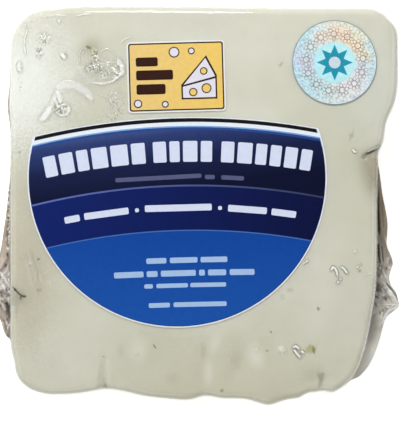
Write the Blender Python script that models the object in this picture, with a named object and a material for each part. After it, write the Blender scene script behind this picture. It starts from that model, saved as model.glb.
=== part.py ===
"""Shrink-wrapped slab of creamy blue cheese with two labels and a round seal, lying flat with its labels up.

Metres, +Z up. The origin is under the middle of the pack, on the surface that it lies on.
+X is the pack's right and +Y its top edge, as the labels read.
"""

import math

import bmesh
import bpy
from mathutils import Matrix, Vector

MM = 0.001

# Driving sizes of the slab in its film, in millimetres
PACK_HALF_WIDTH = 47.3
PACK_HALF_LENGTH = 50.25
PACK_THICKNESS = 26.0
PACK_CENTRE = (-0.85, 0.85)
CORNER_RADIUS = {"top_left": 11.0, "top_right": 6.0, "bottom_left": 11.4, "bottom_right": 18.6}
TOP_EDGE_RADIUS = 2.6
FOOT_EDGE_RADIUS = 3.5
SIDE_BULGE = 0.7
CROWN_DROP = 0.9
STEPS_ROUND = 180
STEPS_ON_TOP_EDGE = 5
STEPS_ON_FOOT_EDGE = 3
SIDE_LEVELS = 3
TOP_RING_INSETS = (3.8, 5.2, 6.8, 8.4, 10.4, 12.8, 15.5, 19.0, 24.0, 31.0, 40.0)
FOOT_RING_INSETS = (28.0,)
RING_ROUNDING = 0.6           # corner radius of the inner rings, as a share of their inset

# Swells (+) and hollows (-) of each edge: place along the edge, half width, push outwards, flatness of the swell
RIGHT_EDGE = (
    (49.7, 27.2, 3.4, 10),  # the corner lobe that stands out beyond the fold
    (30.0, 16.2, 1.5, 12),
    (-5.8, 18.9, -0.5, 4),
    (-36.7, 11.7, -2.9, 2),  # the slant behind the web of film
)
LEFT_EDGE = ((-41.0, 3.2, -0.8, 2), (25.5, 4.0, 0.3, 2))
BOTTOM_EDGE = (
    (-32.3, 11.5, -0.9, 4),
    (-20.5, 7.1, -1.9, 2),  # the deep crease
    (0.9, 6.0, 0.8, 2),
    (2.7, 3.4, -1.3, 2),
    (18.8, 4.1, 1.7, 2),    # the pointed drip
    (31.3, 3.6, -1.4, 4),
)
TOP_EDGE = ((34.4, 33.0, -0.4, 4), (-37.5, 5.0, -0.6, 2))

# Relief of the top face: x, y, half length along, half width across, turn in degrees, height
TOP_RELIEF = (
    (-24.1, -45.6, 6.5, 1.5, 88, -1.4),   # creases and lobes along the bottom edge
    (-11.0, -38.0, 7.0, 2.8, 90, -0.4),
    (1.5, -41.5, 7.5, 2.4, 90, -0.55),
    (10.4, -40.0, 6.0, 2.8, 80, -0.6),
    (15.0, -37.5, 5.5, 2.4, 105, 0.5),
    (18.3, -45.0, 5.0, 3.6, 90, 0.5),
    (30.2, -45.0, 3.6, 3.0, 0, -1.0),
    (45.6, 14.2, 3.8, 2.2, 27, -1.4),     # the fold under the corner lobe
    (40.0, 2.0, 9.0, 7.0, 90, -0.5),
    (-41.5, -17.5, 7.0, 1.4, 102, 0.5),   # tight folds beside the left tail
    (-39.0, -18.5, 7.0, 1.4, 102, -0.4),
    (-45.7, -22.8, 3.0, 1.6, -30, -0.7),
    (-25.4, 36.0, 6.0, 4.6, 0, 0.4),      # the trapped air beside the upper label
    (-35.6, 27.0, 8.0, 2.4, 50, 0.35),
)

# Gathered film at the two side ends: a crumpled plate that tapers out of each side wall
TAIL_LEVEL = 11.0
TAIL_DRIFT = 1.6              # how far the plate wanders up and down along the wall
TAIL_ROOT_DEPTH = 6.0
TAIL_ROOT_THICKNESS = 5.0
TAIL_EDGE_THICKNESS = 1.2
TAIL_ACROSS = 6
TAIL_ALONG = 46
TAIL_END_DEPTH = 2.4
TAIL_END_TAPER = 3.0
TAIL_WIDEST_ANGLE = math.radians(56)   # of the side wall that film can stand out of, from the pack's middle
LEFT_TAIL = {
    "side": -1,
    "from": -38.0,
    "to": 16.0,
    "reach": ((4.5, 9.5, 1.6), (-6.7, 7.8, 1.9), (-15.4, 6.9, 2.3), (-26.8, 10.3, 4.15)),
    "folds": 4.5,
    "swing": 1.2,
}
RIGHT_TAIL = {
    "side": 1,
    "from": -48.5,
    "to": 14.0,
    "reach": ((3.6, 11.6, 2.1), (-7.7, 7.7, 3.0), (-16.1, 3.9, 4.0), (-24.3, 4.6, 5.0), (-27.5, 1.8, 1.45),
              (-31.0, 7.9, 2.8), (-42.0, 11.0, 3.2)),
    "folds": 5.5,
    "swing": 1.1,
}

# Labels, which lie on the film
LABEL_GAP = 0.3
LABEL_THICKNESS = 0.3
LABEL_TURN = math.radians(1.6)
MAIN_LABEL_CENTRE = (-5.3, 7.0)
MAIN_LABEL_RADIUS = 38.1      # a round label of three inches, cut off above
MAIN_LABEL_TOP = 15.2
MAIN_LABEL_TOP_RADIUS = 175.0
UPPER_LABEL_CENTRE = (-5.5, 32.8)
UPPER_LABEL_SIZE = (24.9, 18.1)
UPPER_LABEL_CORNER = 0.9
SEAL_CENTRE = (34.8, 36.4)
SEAL_RADIUS = 10.8


def swell(features, along):
    """How far an edge is pushed outwards at one place along it."""
    return sum(push * math.exp(-abs((along - place) / half) ** flat) for place, half, push, flat in features)


def corner_radius(x, y):
    """The corner radius of the quadrant that a direction points to."""
    name = ("top_" if y > 0 else "bottom_") + ("right" if x > 0 else "left")
    return CORNER_RADIUS[name]


def rounded_box_radius(angle, inset):
    """Distance from the middle to a rounded rectangle's edge, which lies inset inside the pack's outline."""
    cos, sin = math.cos(angle), math.sin(angle)
    half_x, half_y = PACK_HALF_WIDTH - inset, PACK_HALF_LENGTH - inset
    radius = min(max(corner_radius(cos, sin) - inset, RING_ROUNDING * inset), 0.95 * min(half_x, half_y))
    straight = min(half_x / max(abs(cos), 1e-9), half_y / max(abs(sin), 1e-9))
    arc_x, arc_y = half_x - radius, half_y - radius
    if abs(cos) * straight <= arc_x or abs(sin) * straight <= arc_y:
        return straight
    toward = abs(cos) * arc_x + abs(sin) * arc_y
    return toward + math.sqrt(toward ** 2 - arc_x ** 2 - arc_y ** 2 + radius ** 2)


def pushed(x, y):
    """Carries a point of the plain rounded rectangle onto the pack, with its edges' swells and hollows."""
    share_x = min(abs(x) / PACK_HALF_WIDTH, 1.0) ** 3
    share_y = min(abs(y) / PACK_HALF_LENGTH, 1.0) ** 3
    side = swell(RIGHT_EDGE if x > 0 else LEFT_EDGE, y)
    end = swell(TOP_EDGE if y > 0 else BOTTOM_EDGE, x)
    out_x = x + math.copysign(share_x, x) * side
    out_y = y + math.copysign(share_y, y) * end
    return out_x + PACK_CENTRE[0], out_y + PACK_CENTRE[1]


def outline_point(angle, inset):
    radius = rounded_box_radius(angle, inset)
    return pushed(radius * math.cos(angle), radius * math.sin(angle))


def top_height(x, y):
    """Height of the pack's top face, before its edge is rounded off."""
    crown = ((x - PACK_CENTRE[0]) / PACK_HALF_WIDTH) ** 2 + ((y - PACK_CENTRE[1]) / PACK_HALF_LENGTH) ** 2
    height = PACK_THICKNESS - CROWN_DROP * min(crown, 1.6)
    for at_x, at_y, along, across, turn, rise in TOP_RELIEF:
        cos, sin = math.cos(math.radians(turn)), math.sin(math.radians(turn))
        local_x = (x - at_x) * cos + (y - at_y) * sin
        local_y = (y - at_y) * cos - (x - at_x) * sin
        height += rise * math.exp(-(local_x / along) ** 2 - (local_y / across) ** 2)
    return height


def pack_levels():
    """The rings from the foot's middle, round the side wall, to the top's middle: inset, rise, and what it rises from."""
    levels = [(inset, 0.0, "foot") for inset in FOOT_RING_INSETS]
    for step in range(STEPS_ON_FOOT_EDGE + 1):
        turn = 0.5 * math.pi * step / STEPS_ON_FOOT_EDGE
        levels.append((FOOT_EDGE_RADIUS * (1 - math.sin(turn)), FOOT_EDGE_RADIUS * (1 - math.cos(turn)), "foot"))
    for step in range(1, SIDE_LEVELS):
        share = step / SIDE_LEVELS
        levels.append((-SIDE_BULGE * math.sin(math.pi * share), share, "side"))
    for step in range(STEPS_ON_TOP_EDGE + 1):
        turn = 0.5 * math.pi * step / STEPS_ON_TOP_EDGE
        levels.append((TOP_EDGE_RADIUS * (1 - math.cos(turn)), -TOP_EDGE_RADIUS * (1 - math.sin(turn)), "top"))
    levels += [(inset, 0.0, "top") for inset in TOP_RING_INSETS]
    return levels


def level_point(angle, inset, rise, base):
    x, y = outline_point(angle, inset)
    top = top_height(x, y)
    if base == "foot":
        z = rise
    elif base == "side":
        z = FOOT_EDGE_RADIUS + rise * (top - TOP_EDGE_RADIUS - FOOT_EDGE_RADIUS)
    else:
        z = top + rise
    return Vector((x, y, z)) * MM


def material(name, colour, roughness, metallic=0.0):
    made = bpy.data.materials.new(name)
    made.use_nodes = True
    shader = made.node_tree.nodes["Principled BSDF"]
    shader.inputs["Base Color"].default_value = (*colour, 1.0)
    shader.inputs["Roughness"].default_value = roughness
    shader.inputs["Metallic"].default_value = metallic
    return made


def add_object(name, bm, finish=None):
    mesh = bpy.data.meshes.new(name)
    bmesh.ops.recalc_face_normals(bm, faces=bm.faces)
    bm.to_mesh(mesh)
    bm.free()
    made = bpy.data.objects.new(name, mesh)
    bpy.context.scene.collection.objects.link(made)
    if finish:
        mesh.materials.append(finish)
    return made


def next_ring(bm, rim, place):
    """Extrudes the rim's edges and puts each new vertex where place says. Returns the new rim, in order."""
    edges = [bm.edges.get((rim[i - 1], rim[i])) for i in range(len(rim))]
    made = bmesh.ops.extrude_edge_only(bm, edges=edges)["geom"]
    new_verts = {v for v in made if isinstance(v, bmesh.types.BMVert)}
    ring = [next(e.other_vert(v) for e in v.link_edges if e.other_vert(v) in new_verts) for v in rim]
    for index, vert in enumerate(ring):
        vert.co = place(index)
    return ring


def close_with_fan(bm, rim, centre):
    """Closes a rim with triangles that meet at one point."""
    cap = bm.faces.new(rim)
    poked = bmesh.ops.poke(bm, faces=[cap])
    poked["verts"][0].co = centre


def loft(rings, foot_centre, top_centre):
    """A closed body through rings of points, each ring extruded from the last one."""
    bm = bmesh.new()
    rim = bmesh.ops.create_circle(bm, segments=len(rings[0]), radius=MM, cap_ends=False)["verts"]
    for vert, point in zip(rim, rings[0]):
        vert.co = point
    first = rim
    for ring in rings[1:]:
        rim = next_ring(bm, rim, lambda index, ring=ring: ring[index])
    close_with_fan(bm, first, foot_centre)
    close_with_fan(bm, rim, top_centre)
    return bm


def slab(finish):
    angles = [2 * math.pi * step / STEPS_ROUND for step in range(STEPS_ROUND)]
    rings = [[level_point(angle, *level) for angle in angles] for level in pack_levels()]
    x, y = PACK_CENTRE
    made = add_object("cheese_pack", loft(rings, Vector((x, y, 0)) * MM, Vector((x, y, top_height(x, y))) * MM), finish)
    made.data.shade_smooth()
    return made


def tail_reach(tail, y):
    """How far the gathered film stands out of the side wall. It sinks into the wall at both ends."""
    reach = sum(out * math.exp(-((y - place) / half) ** 2) for place, half, out in tail["reach"])
    reach *= max(0.0, min(1.0, (y - tail["from"]) / TAIL_END_TAPER, (tail["to"] - y) / TAIL_END_TAPER))
    return reach - TAIL_END_DEPTH * math.exp(-reach)


def wall_place(side, y):
    """Where the side wall stands at one place along it, found by halving the angle that it is seen at."""
    low, high = -TAIL_WIDEST_ANGLE, TAIL_WIDEST_ANGLE
    for _ in range(24):
        angle = 0.5 * (low + high)
        wall_x, wall_y = outline_point(angle if side > 0 else math.pi - angle, 0.0)
        if wall_y < y:
            low = angle
        else:
            high = angle
    return wall_x


def tail_point(tail, across, along, lift):
    """A point of the plate: across runs from its root to its free edge, lift from -1 underneath to 1 on top."""
    y = tail["from"] + along * (tail["to"] - tail["from"])
    wall_x = wall_place(tail["side"], y + PACK_CENTRE[1])
    out = across * (TAIL_ROOT_DEPTH + tail_reach(tail, y)) - TAIL_ROOT_DEPTH
    phase = 2 * math.pi * along
    fold = math.sin(tail["folds"] * phase + 1.4 * math.sin(1.3 * phase)) + 0.6 * math.sin(2.1 * phase + 4.0 * across)
    thickness = TAIL_ROOT_THICKNESS + across * (TAIL_EDGE_THICKNESS - TAIL_ROOT_THICKNESS)
    level = TAIL_LEVEL + TAIL_DRIFT * math.sin(0.9 * phase + 0.6)
    z = level + tail["swing"] * across ** 2 * fold + lift * thickness / 2
    return Vector((wall_x + tail["side"] * out, y + PACK_CENTRE[1], z)) * MM


def gathered_tail(name, tail):
    """A crumpled plate of film, which the pack is joined to by a Boolean union."""
    bm = bmesh.new()
    bmesh.ops.create_grid(bm, x_segments=TAIL_ACROSS, y_segments=TAIL_ALONG, size=0.5)
    under = list(bm.verts)
    grown = bmesh.ops.extrude_face_region(bm, geom=bm.faces[:])["geom"]
    over = [v for v in grown if isinstance(v, bmesh.types.BMVert)]
    for verts, lift in ((under, -1), (over, 1)):
        for vert in verts:
            vert.co = tail_point(tail, vert.co.x + 0.5, vert.co.y + 0.5, lift)
    plate = add_object(name, bm)
    plate.hide_render = True
    plate.display_type = "WIRE"
    return plate


def join_tail(pack, plate):
    union = pack.modifiers.new("join " + plate.name, "BOOLEAN")
    union.operation = "UNION"
    union.solver = "EXACT"
    union.object = plate


def conforming_label(name, outline, shares, finish):
    """A thin plate that follows the pack's top face: outline holds the points of its edge round its own middle."""
    middle_x = sum(x for x, _ in outline) / len(outline)
    middle_y = sum(y for _, y in outline) / len(outline)

    def ring(share, lift):
        points = []
        for x, y in outline:
            at_x, at_y = middle_x + share * (x - middle_x), middle_y + share * (y - middle_y)
            points.append(Vector((at_x, at_y, top_height(at_x, at_y) + lift)) * MM)
        return points

    under, over = LABEL_GAP, LABEL_GAP + LABEL_THICKNESS
    rings = [ring(share, under) for share in shares] + [ring(share, over) for share in reversed(shares)]
    middle = top_height(middle_x, middle_y)
    foot, top = (Vector((middle_x, middle_y, middle + lift)) * MM for lift in (under, over))
    made = add_object(name, loft(rings, foot, top), finish)
    made.data.shade_smooth()
    made.data.set_sharp_from_angle(angle=math.radians(40))
    return made


def turned(points, centre, turn):
    spin = Matrix.Rotation(turn, 2)
    return [tuple(spin @ Vector(point) + Vector(centre)) for point in points]


def main_label_outline(steps=96):
    """A round label whose top is cut off by a wide arc."""
    points = []
    for step in range(steps):
        angle = 2 * math.pi * step / steps
        x, y = MAIN_LABEL_RADIUS * math.cos(angle), MAIN_LABEL_RADIUS * math.sin(angle)
        arc = MAIN_LABEL_TOP - MAIN_LABEL_TOP_RADIUS + math.sqrt(MAIN_LABEL_TOP_RADIUS ** 2 - x ** 2)
        points.append((x, min(y, arc)))
    return turned(points, MAIN_LABEL_CENTRE, LABEL_TURN)


def rounded_rectangle_outline(size, radius, centre, turn, steps_per_corner=4):
    half_x, half_y = size[0] / 2 - radius, size[1] / 2 - radius
    points = []
    for corner, (sign_x, sign_y) in enumerate(((1, 1), (-1, 1), (-1, -1), (1, -1))):
        for step in range(steps_per_corner + 1):
            angle = 0.5 * math.pi * (corner + step / steps_per_corner)
            points.append((sign_x * half_x + radius * math.cos(angle), sign_y * half_y + radius * math.sin(angle)))
    return turned(points, centre, turn)


def circle_outline(radius, centre, steps=48):
    angles = (2 * math.pi * step / steps for step in range(steps))
    return turned([(radius * math.cos(angle), radius * math.sin(angle)) for angle in angles], centre, 0.0)


def main():
    for old in list(bpy.data.objects):
        bpy.data.objects.remove(old)
    wrapped_cheese = material("wrapped cheese", (0.76, 0.74, 0.60), 0.22)
    main_print = material("main label print", (0.02, 0.06, 0.30), 0.3)
    upper_print = material("upper label print", (0.80, 0.52, 0.12), 0.35)
    foil = material("seal foil", (0.62, 0.74, 0.76), 0.25, 0.6)
    pack = slab(wrapped_cheese)
    for name, tail in (("left_tail", LEFT_TAIL), ("right_tail", RIGHT_TAIL)):
        join_tail(pack, gathered_tail(name, tail))
    conforming_label("main_label", main_label_outline(), (0.35, 0.7, 1.0), main_print)
    upper = rounded_rectangle_outline(UPPER_LABEL_SIZE, UPPER_LABEL_CORNER, UPPER_LABEL_CENTRE, LABEL_TURN)
    conforming_label("upper_label", upper, (0.5, 1.0), upper_print)
    conforming_label("round_seal", circle_outline(SEAL_RADIUS, SEAL_CENTRE), (0.5, 1.0), foil)


main()
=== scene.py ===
import math

import bmesh
import bpy
import numpy as np
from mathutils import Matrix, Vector


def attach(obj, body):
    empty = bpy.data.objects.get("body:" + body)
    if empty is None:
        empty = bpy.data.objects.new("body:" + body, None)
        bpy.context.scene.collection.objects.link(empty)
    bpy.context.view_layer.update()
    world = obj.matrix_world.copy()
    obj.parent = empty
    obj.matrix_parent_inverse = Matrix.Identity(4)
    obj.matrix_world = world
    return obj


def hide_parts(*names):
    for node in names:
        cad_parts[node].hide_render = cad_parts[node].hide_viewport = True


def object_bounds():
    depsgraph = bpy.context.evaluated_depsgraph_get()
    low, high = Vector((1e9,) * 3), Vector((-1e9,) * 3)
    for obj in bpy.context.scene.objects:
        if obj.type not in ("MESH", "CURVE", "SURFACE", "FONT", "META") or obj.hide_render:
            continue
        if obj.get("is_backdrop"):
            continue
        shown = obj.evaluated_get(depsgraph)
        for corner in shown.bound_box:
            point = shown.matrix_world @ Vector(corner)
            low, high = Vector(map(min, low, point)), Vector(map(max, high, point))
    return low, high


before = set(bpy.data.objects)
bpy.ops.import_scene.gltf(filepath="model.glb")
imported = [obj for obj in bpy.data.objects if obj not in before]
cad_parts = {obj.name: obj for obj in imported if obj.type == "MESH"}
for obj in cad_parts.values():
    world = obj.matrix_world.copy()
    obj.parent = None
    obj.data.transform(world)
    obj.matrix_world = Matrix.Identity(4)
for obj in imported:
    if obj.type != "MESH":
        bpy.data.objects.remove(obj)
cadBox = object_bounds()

# Shrink-wrapped slab of creamy blue cheese, labels up
# Sizes are in millimetres, with +X right and +Y up as the labels read
mm = 0.001
scene = bpy.context.scene


def linear(red, green, blue):
    # screen colour 0 to 255, as seen on the pack, to the shader's linear value
    shares = [channel / 255 for channel in (red, green, blue)]
    return tuple(s / 12.92 if s <= 0.04045 else ((s + 0.055) / 1.055) ** 2.4 for s in shares)


def smoothStep(low, high, value):
    share = np.clip((value - low) / (high - low), 0.0, 1.0)
    return share * share * (3 - 2 * share)


def softNoise(x, y, size, seed):
    # smooth random field from -1 to 1 with lumps about one size across
    table = np.random.RandomState(seed).uniform(-1, 1, (64, 64))
    gridX, gridY = np.asarray(x) / size + 1000.0, np.asarray(y) / size + 1000.0
    cellX, cellY = np.floor(gridX).astype(int), np.floor(gridY).astype(int)
    partX, partY = gridX - cellX, gridY - cellY
    partX, partY = partX * partX * (3 - 2 * partX), partY * partY * (3 - 2 * partY)
    corner = lambda dx, dy: table[(cellX + dx) % 64, (cellY + dy) % 64]
    low = corner(0, 0) * (1 - partX) + corner(1, 0) * partX
    high = corner(0, 1) * (1 - partX) + corner(1, 1) * partX
    return low * (1 - partY) + high * partY


# The pack's form: the same rounded slab, swells and relief as the frame's solid
pack = {
    "halfWidth": 47.3,
    "halfLength": 50.25,
    "thickness": 26.0,
    "centre": (-0.85, 0.85),
    "corners": {(1, 1): 6.0, (-1, 1): 11.0, (-1, -1): 11.4, (1, -1): 18.6},
    "topRound": 2.2,
    "footRound": 3.5,
    "bulge": 0.7,
    "crownDrop": 0.9,
    "ringRounding": 0.6,
    # along the edge, half width, push outwards, flatness
    "rightEdge": ((49.7, 27.2, 3.4, 10), (30, 16.2, 1.5, 12), (-5.8, 18.9, -0.5, 4), (-36.7, 11.7, -2.9, 2)),
    "leftEdge": ((-41, 3.2, -0.8, 2), (25.5, 4, 0.3, 2)),
    "bottomEdge": (
        (-32.3, 11.5, -0.9, 4), (-20.5, 7.1, -1.9, 2), (0.9, 6, 0.8, 2), (2.7, 3.4, -1.3, 2),
        (18.8, 4.1, 1.7, 2), (31.3, 3.6, -1.4, 4),
    ),
    "topEdge": ((34.4, 33, -0.4, 4), (-37.5, 5, -0.6, 2)),
    # x, y, half length, half width on the far and near side, turn in degrees, height
    "relief": (
        (-24.1, -45.6, 6, 0.9, 0.9, 88, -1.2), (-11, -38, 7, 2.8, 2.8, 90, -0.4),
        (1.5, -41.5, 7.5, 2.4, 2.4, 90, -0.55), (10.4, -40, 6, 2.8, 2.8, 80, -0.6),
        (15, -37.5, 5.5, 2.4, 2.4, 105, 0.5), (18.3, -45, 5, 3.6, 3.6, 90, 0.5),
        (30.2, -45, 3.6, 2.6, 3.4, 0, -0.9), (45.6, 14.2, 3.8, 0.5, 3, 27, -0.9), (40, 2, 9, 7, 7, 90, -0.5),
        (-41.5, -17.5, 7, 1.4, 1.4, 102, 0.5), (-39, -18.5, 7, 1.4, 1.4, 102, -0.4),
        (-46, -22.6, 3, 0.8, 2, -30, -0.35), (-25.4, 36, 6, 4.6, 4.6, 0, 0.4),
        (-35.6, 27, 8, 2.4, 2.4, 50, 0.35),
    ),
    # how unevenly the film and the cheese lie: height, size, seed
    "waves": ((0.09, 8.0, 41), (0.04, 2.8, 42)),
}


def swell(features, along):
    return sum(push * np.exp(-np.abs((along - place) / half) ** flat) for place, half, push, flat in features)


def outline(angle, inset):
    # a point of the pack's edge in each direction, drawn in by inset
    cos, sin = np.cos(angle), np.sin(angle)
    halfX, halfY = pack["halfWidth"] - inset, pack["halfLength"] - inset
    corner = sum(radius * (np.where(cos > 0, 1, -1) == signX) * (np.where(sin > 0, 1, -1) == signY)
                 for (signX, signY), radius in pack["corners"].items())
    radius = np.maximum(corner - inset, pack["ringRounding"] * inset)
    radius = np.minimum(radius, 0.95 * np.minimum(halfX, halfY))
    straight = np.minimum(halfX / np.maximum(np.abs(cos), 1e-9), halfY / np.maximum(np.abs(sin), 1e-9))
    arcX, arcY = halfX - radius, halfY - radius
    toward = np.abs(cos) * arcX + np.abs(sin) * arcY
    rounded = toward + np.sqrt(np.maximum(toward ** 2 - arcX ** 2 - arcY ** 2 + radius ** 2, 0))
    plain = (np.abs(cos) * straight <= arcX) | (np.abs(sin) * straight <= arcY)
    reach = np.where(plain, straight, rounded)
    x, y = reach * cos, reach * sin
    shareX = np.minimum(np.abs(x) / pack["halfWidth"], 1.0) ** 3
    shareY = np.minimum(np.abs(y) / pack["halfLength"], 1.0) ** 3
    side = np.where(x > 0, swell(pack["rightEdge"], y), swell(pack["leftEdge"], y))
    end = np.where(y > 0, swell(pack["topEdge"], x), swell(pack["bottomEdge"], x))
    centreX, centreY = pack["centre"]
    return x + np.sign(x) * shareX * side + centreX, y + np.sign(y) * shareY * end + centreY


def topHeight(x, y):
    x, y = np.asarray(x, float), np.asarray(y, float)
    centreX, centreY = pack["centre"]
    crown = ((x - centreX) / pack["halfWidth"]) ** 2 + ((y - centreY) / pack["halfLength"]) ** 2
    height = pack["thickness"] - pack["crownDrop"] * np.minimum(crown, 1.6)
    for atX, atY, along, far, near, turn, rise in pack["relief"]:
        cos, sin = math.cos(math.radians(turn)), math.sin(math.radians(turn))
        localX, localY = (x - atX) * cos + (y - atY) * sin, (y - atY) * cos - (x - atX) * sin
        across = np.where(localY > 0, far, near)
        height = height + rise * np.exp(-(localX / along) ** 2 - (localY / across) ** 2)
    return height


# Where the labels and the seal hold the film flat: their middles, where the hold ends and where it is full
held = {"main": (-5.3, 7.0), "mainRound": (41.0, 38.5), "mainTop": (24.5, 22.6),
        "upper": (-5.5, 32.8), "upperAcross": (14.6, 12.9), "upperUp": (11.2, 9.5),
        "seal": (34.8, 36.4), "sealRound": (12.6, 11.0)}


def underPrint(x, y):
    # 1 where a label or the seal holds the film flat
    (mainX, mainY), (upperX, upperY), (sealX, sealY) = held["main"], held["upper"], held["seal"]
    main = smoothStep(*held["mainRound"], np.hypot(x - mainX, y - mainY)) * smoothStep(*held["mainTop"], y)
    upper = smoothStep(*held["upperAcross"], np.abs(x - upperX))
    upper = upper * smoothStep(*held["upperUp"], np.abs(y - upperY))
    foil = smoothStep(*held["sealRound"], np.hypot(x - sealX, y - sealY))
    return np.maximum(np.maximum(main, upper), foil)


def wallAt(side, y):
    # where the side wall stands at each place along it
    bearing = np.radians(np.linspace(-56, 56, 449))
    wallX, wallY = outline(bearing if side > 0 else math.pi - bearing, 0.0)
    order = np.argsort(wallY)
    return np.interp(y, wallY[order], wallX[order])


# Mesh helpers
def meshFrom(bm, name):
    mesh = bpy.data.meshes.new(name)
    bm.to_mesh(mesh)
    bm.free()
    return mesh


def pieceFrom(mesh, materials, sharpAngle=None):
    # the piece has its mesh's name
    for material in materials:
        mesh.materials.append(material)
    mesh.shade_smooth()
    if sharpAngle:
        mesh.set_sharp_from_angle(angle=math.radians(sharpAngle))
    piece = bpy.data.objects.new(mesh.name, mesh)
    scene.collection.objects.link(piece)
    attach(piece, "root")
    print(f"{piece.name}: {len(mesh.polygons)} faces")
    return piece


def readPoints(mesh, normals=False):
    source = mesh.vertex_normals if normals else mesh.vertices
    values = np.empty(3 * len(mesh.vertices))
    source.foreach_get("vector" if normals else "co", values)
    return values.reshape(-1, 3)


def writePoints(mesh, points):
    mesh.vertices.foreach_set("co", np.ascontiguousarray(points).ravel())
    mesh.update()


def offsetAlongNormals(mesh, distance):
    points, normals = readPoints(mesh), readPoints(mesh, normals=True)
    writePoints(mesh, points + normals * np.asarray(distance).reshape(-1, 1) * mm)


# The slab and its film are one wrapped grid: its middle is the top face and its rim is tucked under the foot
wrap = {"topShare": 0.62, "topRoundShare": 0.72, "sideShare": 0.90, "footRoundShare": 0.96, "footTuck": 12.0}


def wrappedPoints(u, v):
    ring = np.maximum(np.abs(u), np.abs(v))
    part = lambda low, high: np.clip((ring - low) / (high - low), 0.0, 1.0)
    onTop = part(0.0, wrap["topShare"])
    topTurn = 0.5 * math.pi * part(wrap["topShare"], wrap["topRoundShare"])
    down = part(wrap["topRoundShare"], wrap["sideShare"])
    footTurn = 0.5 * math.pi * part(wrap["sideShare"], wrap["footRoundShare"])
    tuck = part(wrap["footRoundShare"], 1.0)
    inset = pack["topRound"] * (1 - np.sin(topTurn)) - pack["bulge"] * np.sin(math.pi * down)
    inset = inset + pack["footRound"] * (1 - np.cos(footTurn)) + wrap["footTuck"] * tuck
    edgeX, edgeY = outline(np.arctan2(v, u), inset)
    centreX, centreY = pack["centre"]
    x, y = centreX + onTop * (edgeX - centreX), centreY + onTop * (edgeY - centreY)
    waves = sum(height * softNoise(x, y, size, seed) for height, size, seed in pack["waves"])
    top = topHeight(x, y) + waves * (1 - underPrint(x, y))
    wall = top - pack["topRound"] - pack["footRound"]
    z = top - pack["topRound"] * (1 - np.cos(topTurn)) - wall * down
    z = np.where(ring > wrap["sideShare"], pack["footRound"] * (1 - np.sin(footTurn)), z)
    return x, y, z


def wrappedShell(name, segments):
    bm = bmesh.new()
    bmesh.ops.create_grid(bm, x_segments=segments, y_segments=segments, size=1.0)
    rim = [edge for edge in bm.edges if edge.is_boundary]
    foot = bmesh.ops.edgeloop_fill(bm, edges=rim)["faces"]
    middle = bmesh.ops.poke(bm, faces=foot)["verts"][0]
    middle.co.z = -1.0
    bmesh.ops.recalc_face_normals(bm, faces=bm.faces)
    mesh = meshFrom(bm, name)
    flat = readPoints(mesh)
    x, y, z = wrappedPoints(flat[:, 0], flat[:, 1])
    under = flat[:, 2] < -0.5
    x[under], y[under], z[under] = pack["centre"][0], pack["centre"][1], 0.0
    writePoints(mesh, np.stack([x, y, z], axis=1) * mm)
    return mesh


# Shader helpers
def newMaterial(name):
    material = bpy.data.materials.new(name)
    material.use_nodes = True
    material.node_tree.nodes.clear()
    return material, material.node_tree.nodes


def addNode(nodes, kind, values, out=0, **settings):
    # adds a node and gives one of its outputs; values are numbers, or the outputs that feed its inputs
    node = nodes.new("ShaderNode" + kind)
    for key, value in settings.items():
        setattr(node, key, value)
    for key, value in values.items():
        if isinstance(value, bpy.types.NodeSocket):
            node.id_data.links.new(value, node.inputs[key])
        else:
            node.inputs[key].default_value = value
    return node.outputs[out] if len(node.outputs) else None


def calculate(nodes, operation, *values):
    return addNode(nodes, "Math", dict(enumerate(values)), operation=operation)


def addNoise(nodes, position, scale, detail, roughness=0.5, distortion=0.0):
    values = {"Vector": position, "Scale": scale, "Detail": detail, "Roughness": roughness}
    return addNode(nodes, "TexNoise", {**values, "Distortion": distortion})


def addBump(nodes, height, strength, distance):
    return addNode(nodes, "Bump", {"Height": height, "Strength": strength, "Distance": distance})


def mixColours(nodes, first, second, factor=1.0, blend="MULTIPLY"):
    values = {"Factor": factor, 6: first, 7: second}
    return addNode(nodes, "Mix", values, 2, data_type="RGBA", blend_type=blend)


def colourRamp(nodes, factor, stops):
    node = nodes.new("ShaderNodeValToRGB")
    elements = node.color_ramp.elements
    while len(elements) < len(stops):
        elements.new(0.5)
    for element, (position, colour) in zip(elements, stops):
        element.position = position
        element.color = (*colour, 1.0)
    node.id_data.links.new(factor, node.inputs["Fac"])
    return node.outputs["Color"]


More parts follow.
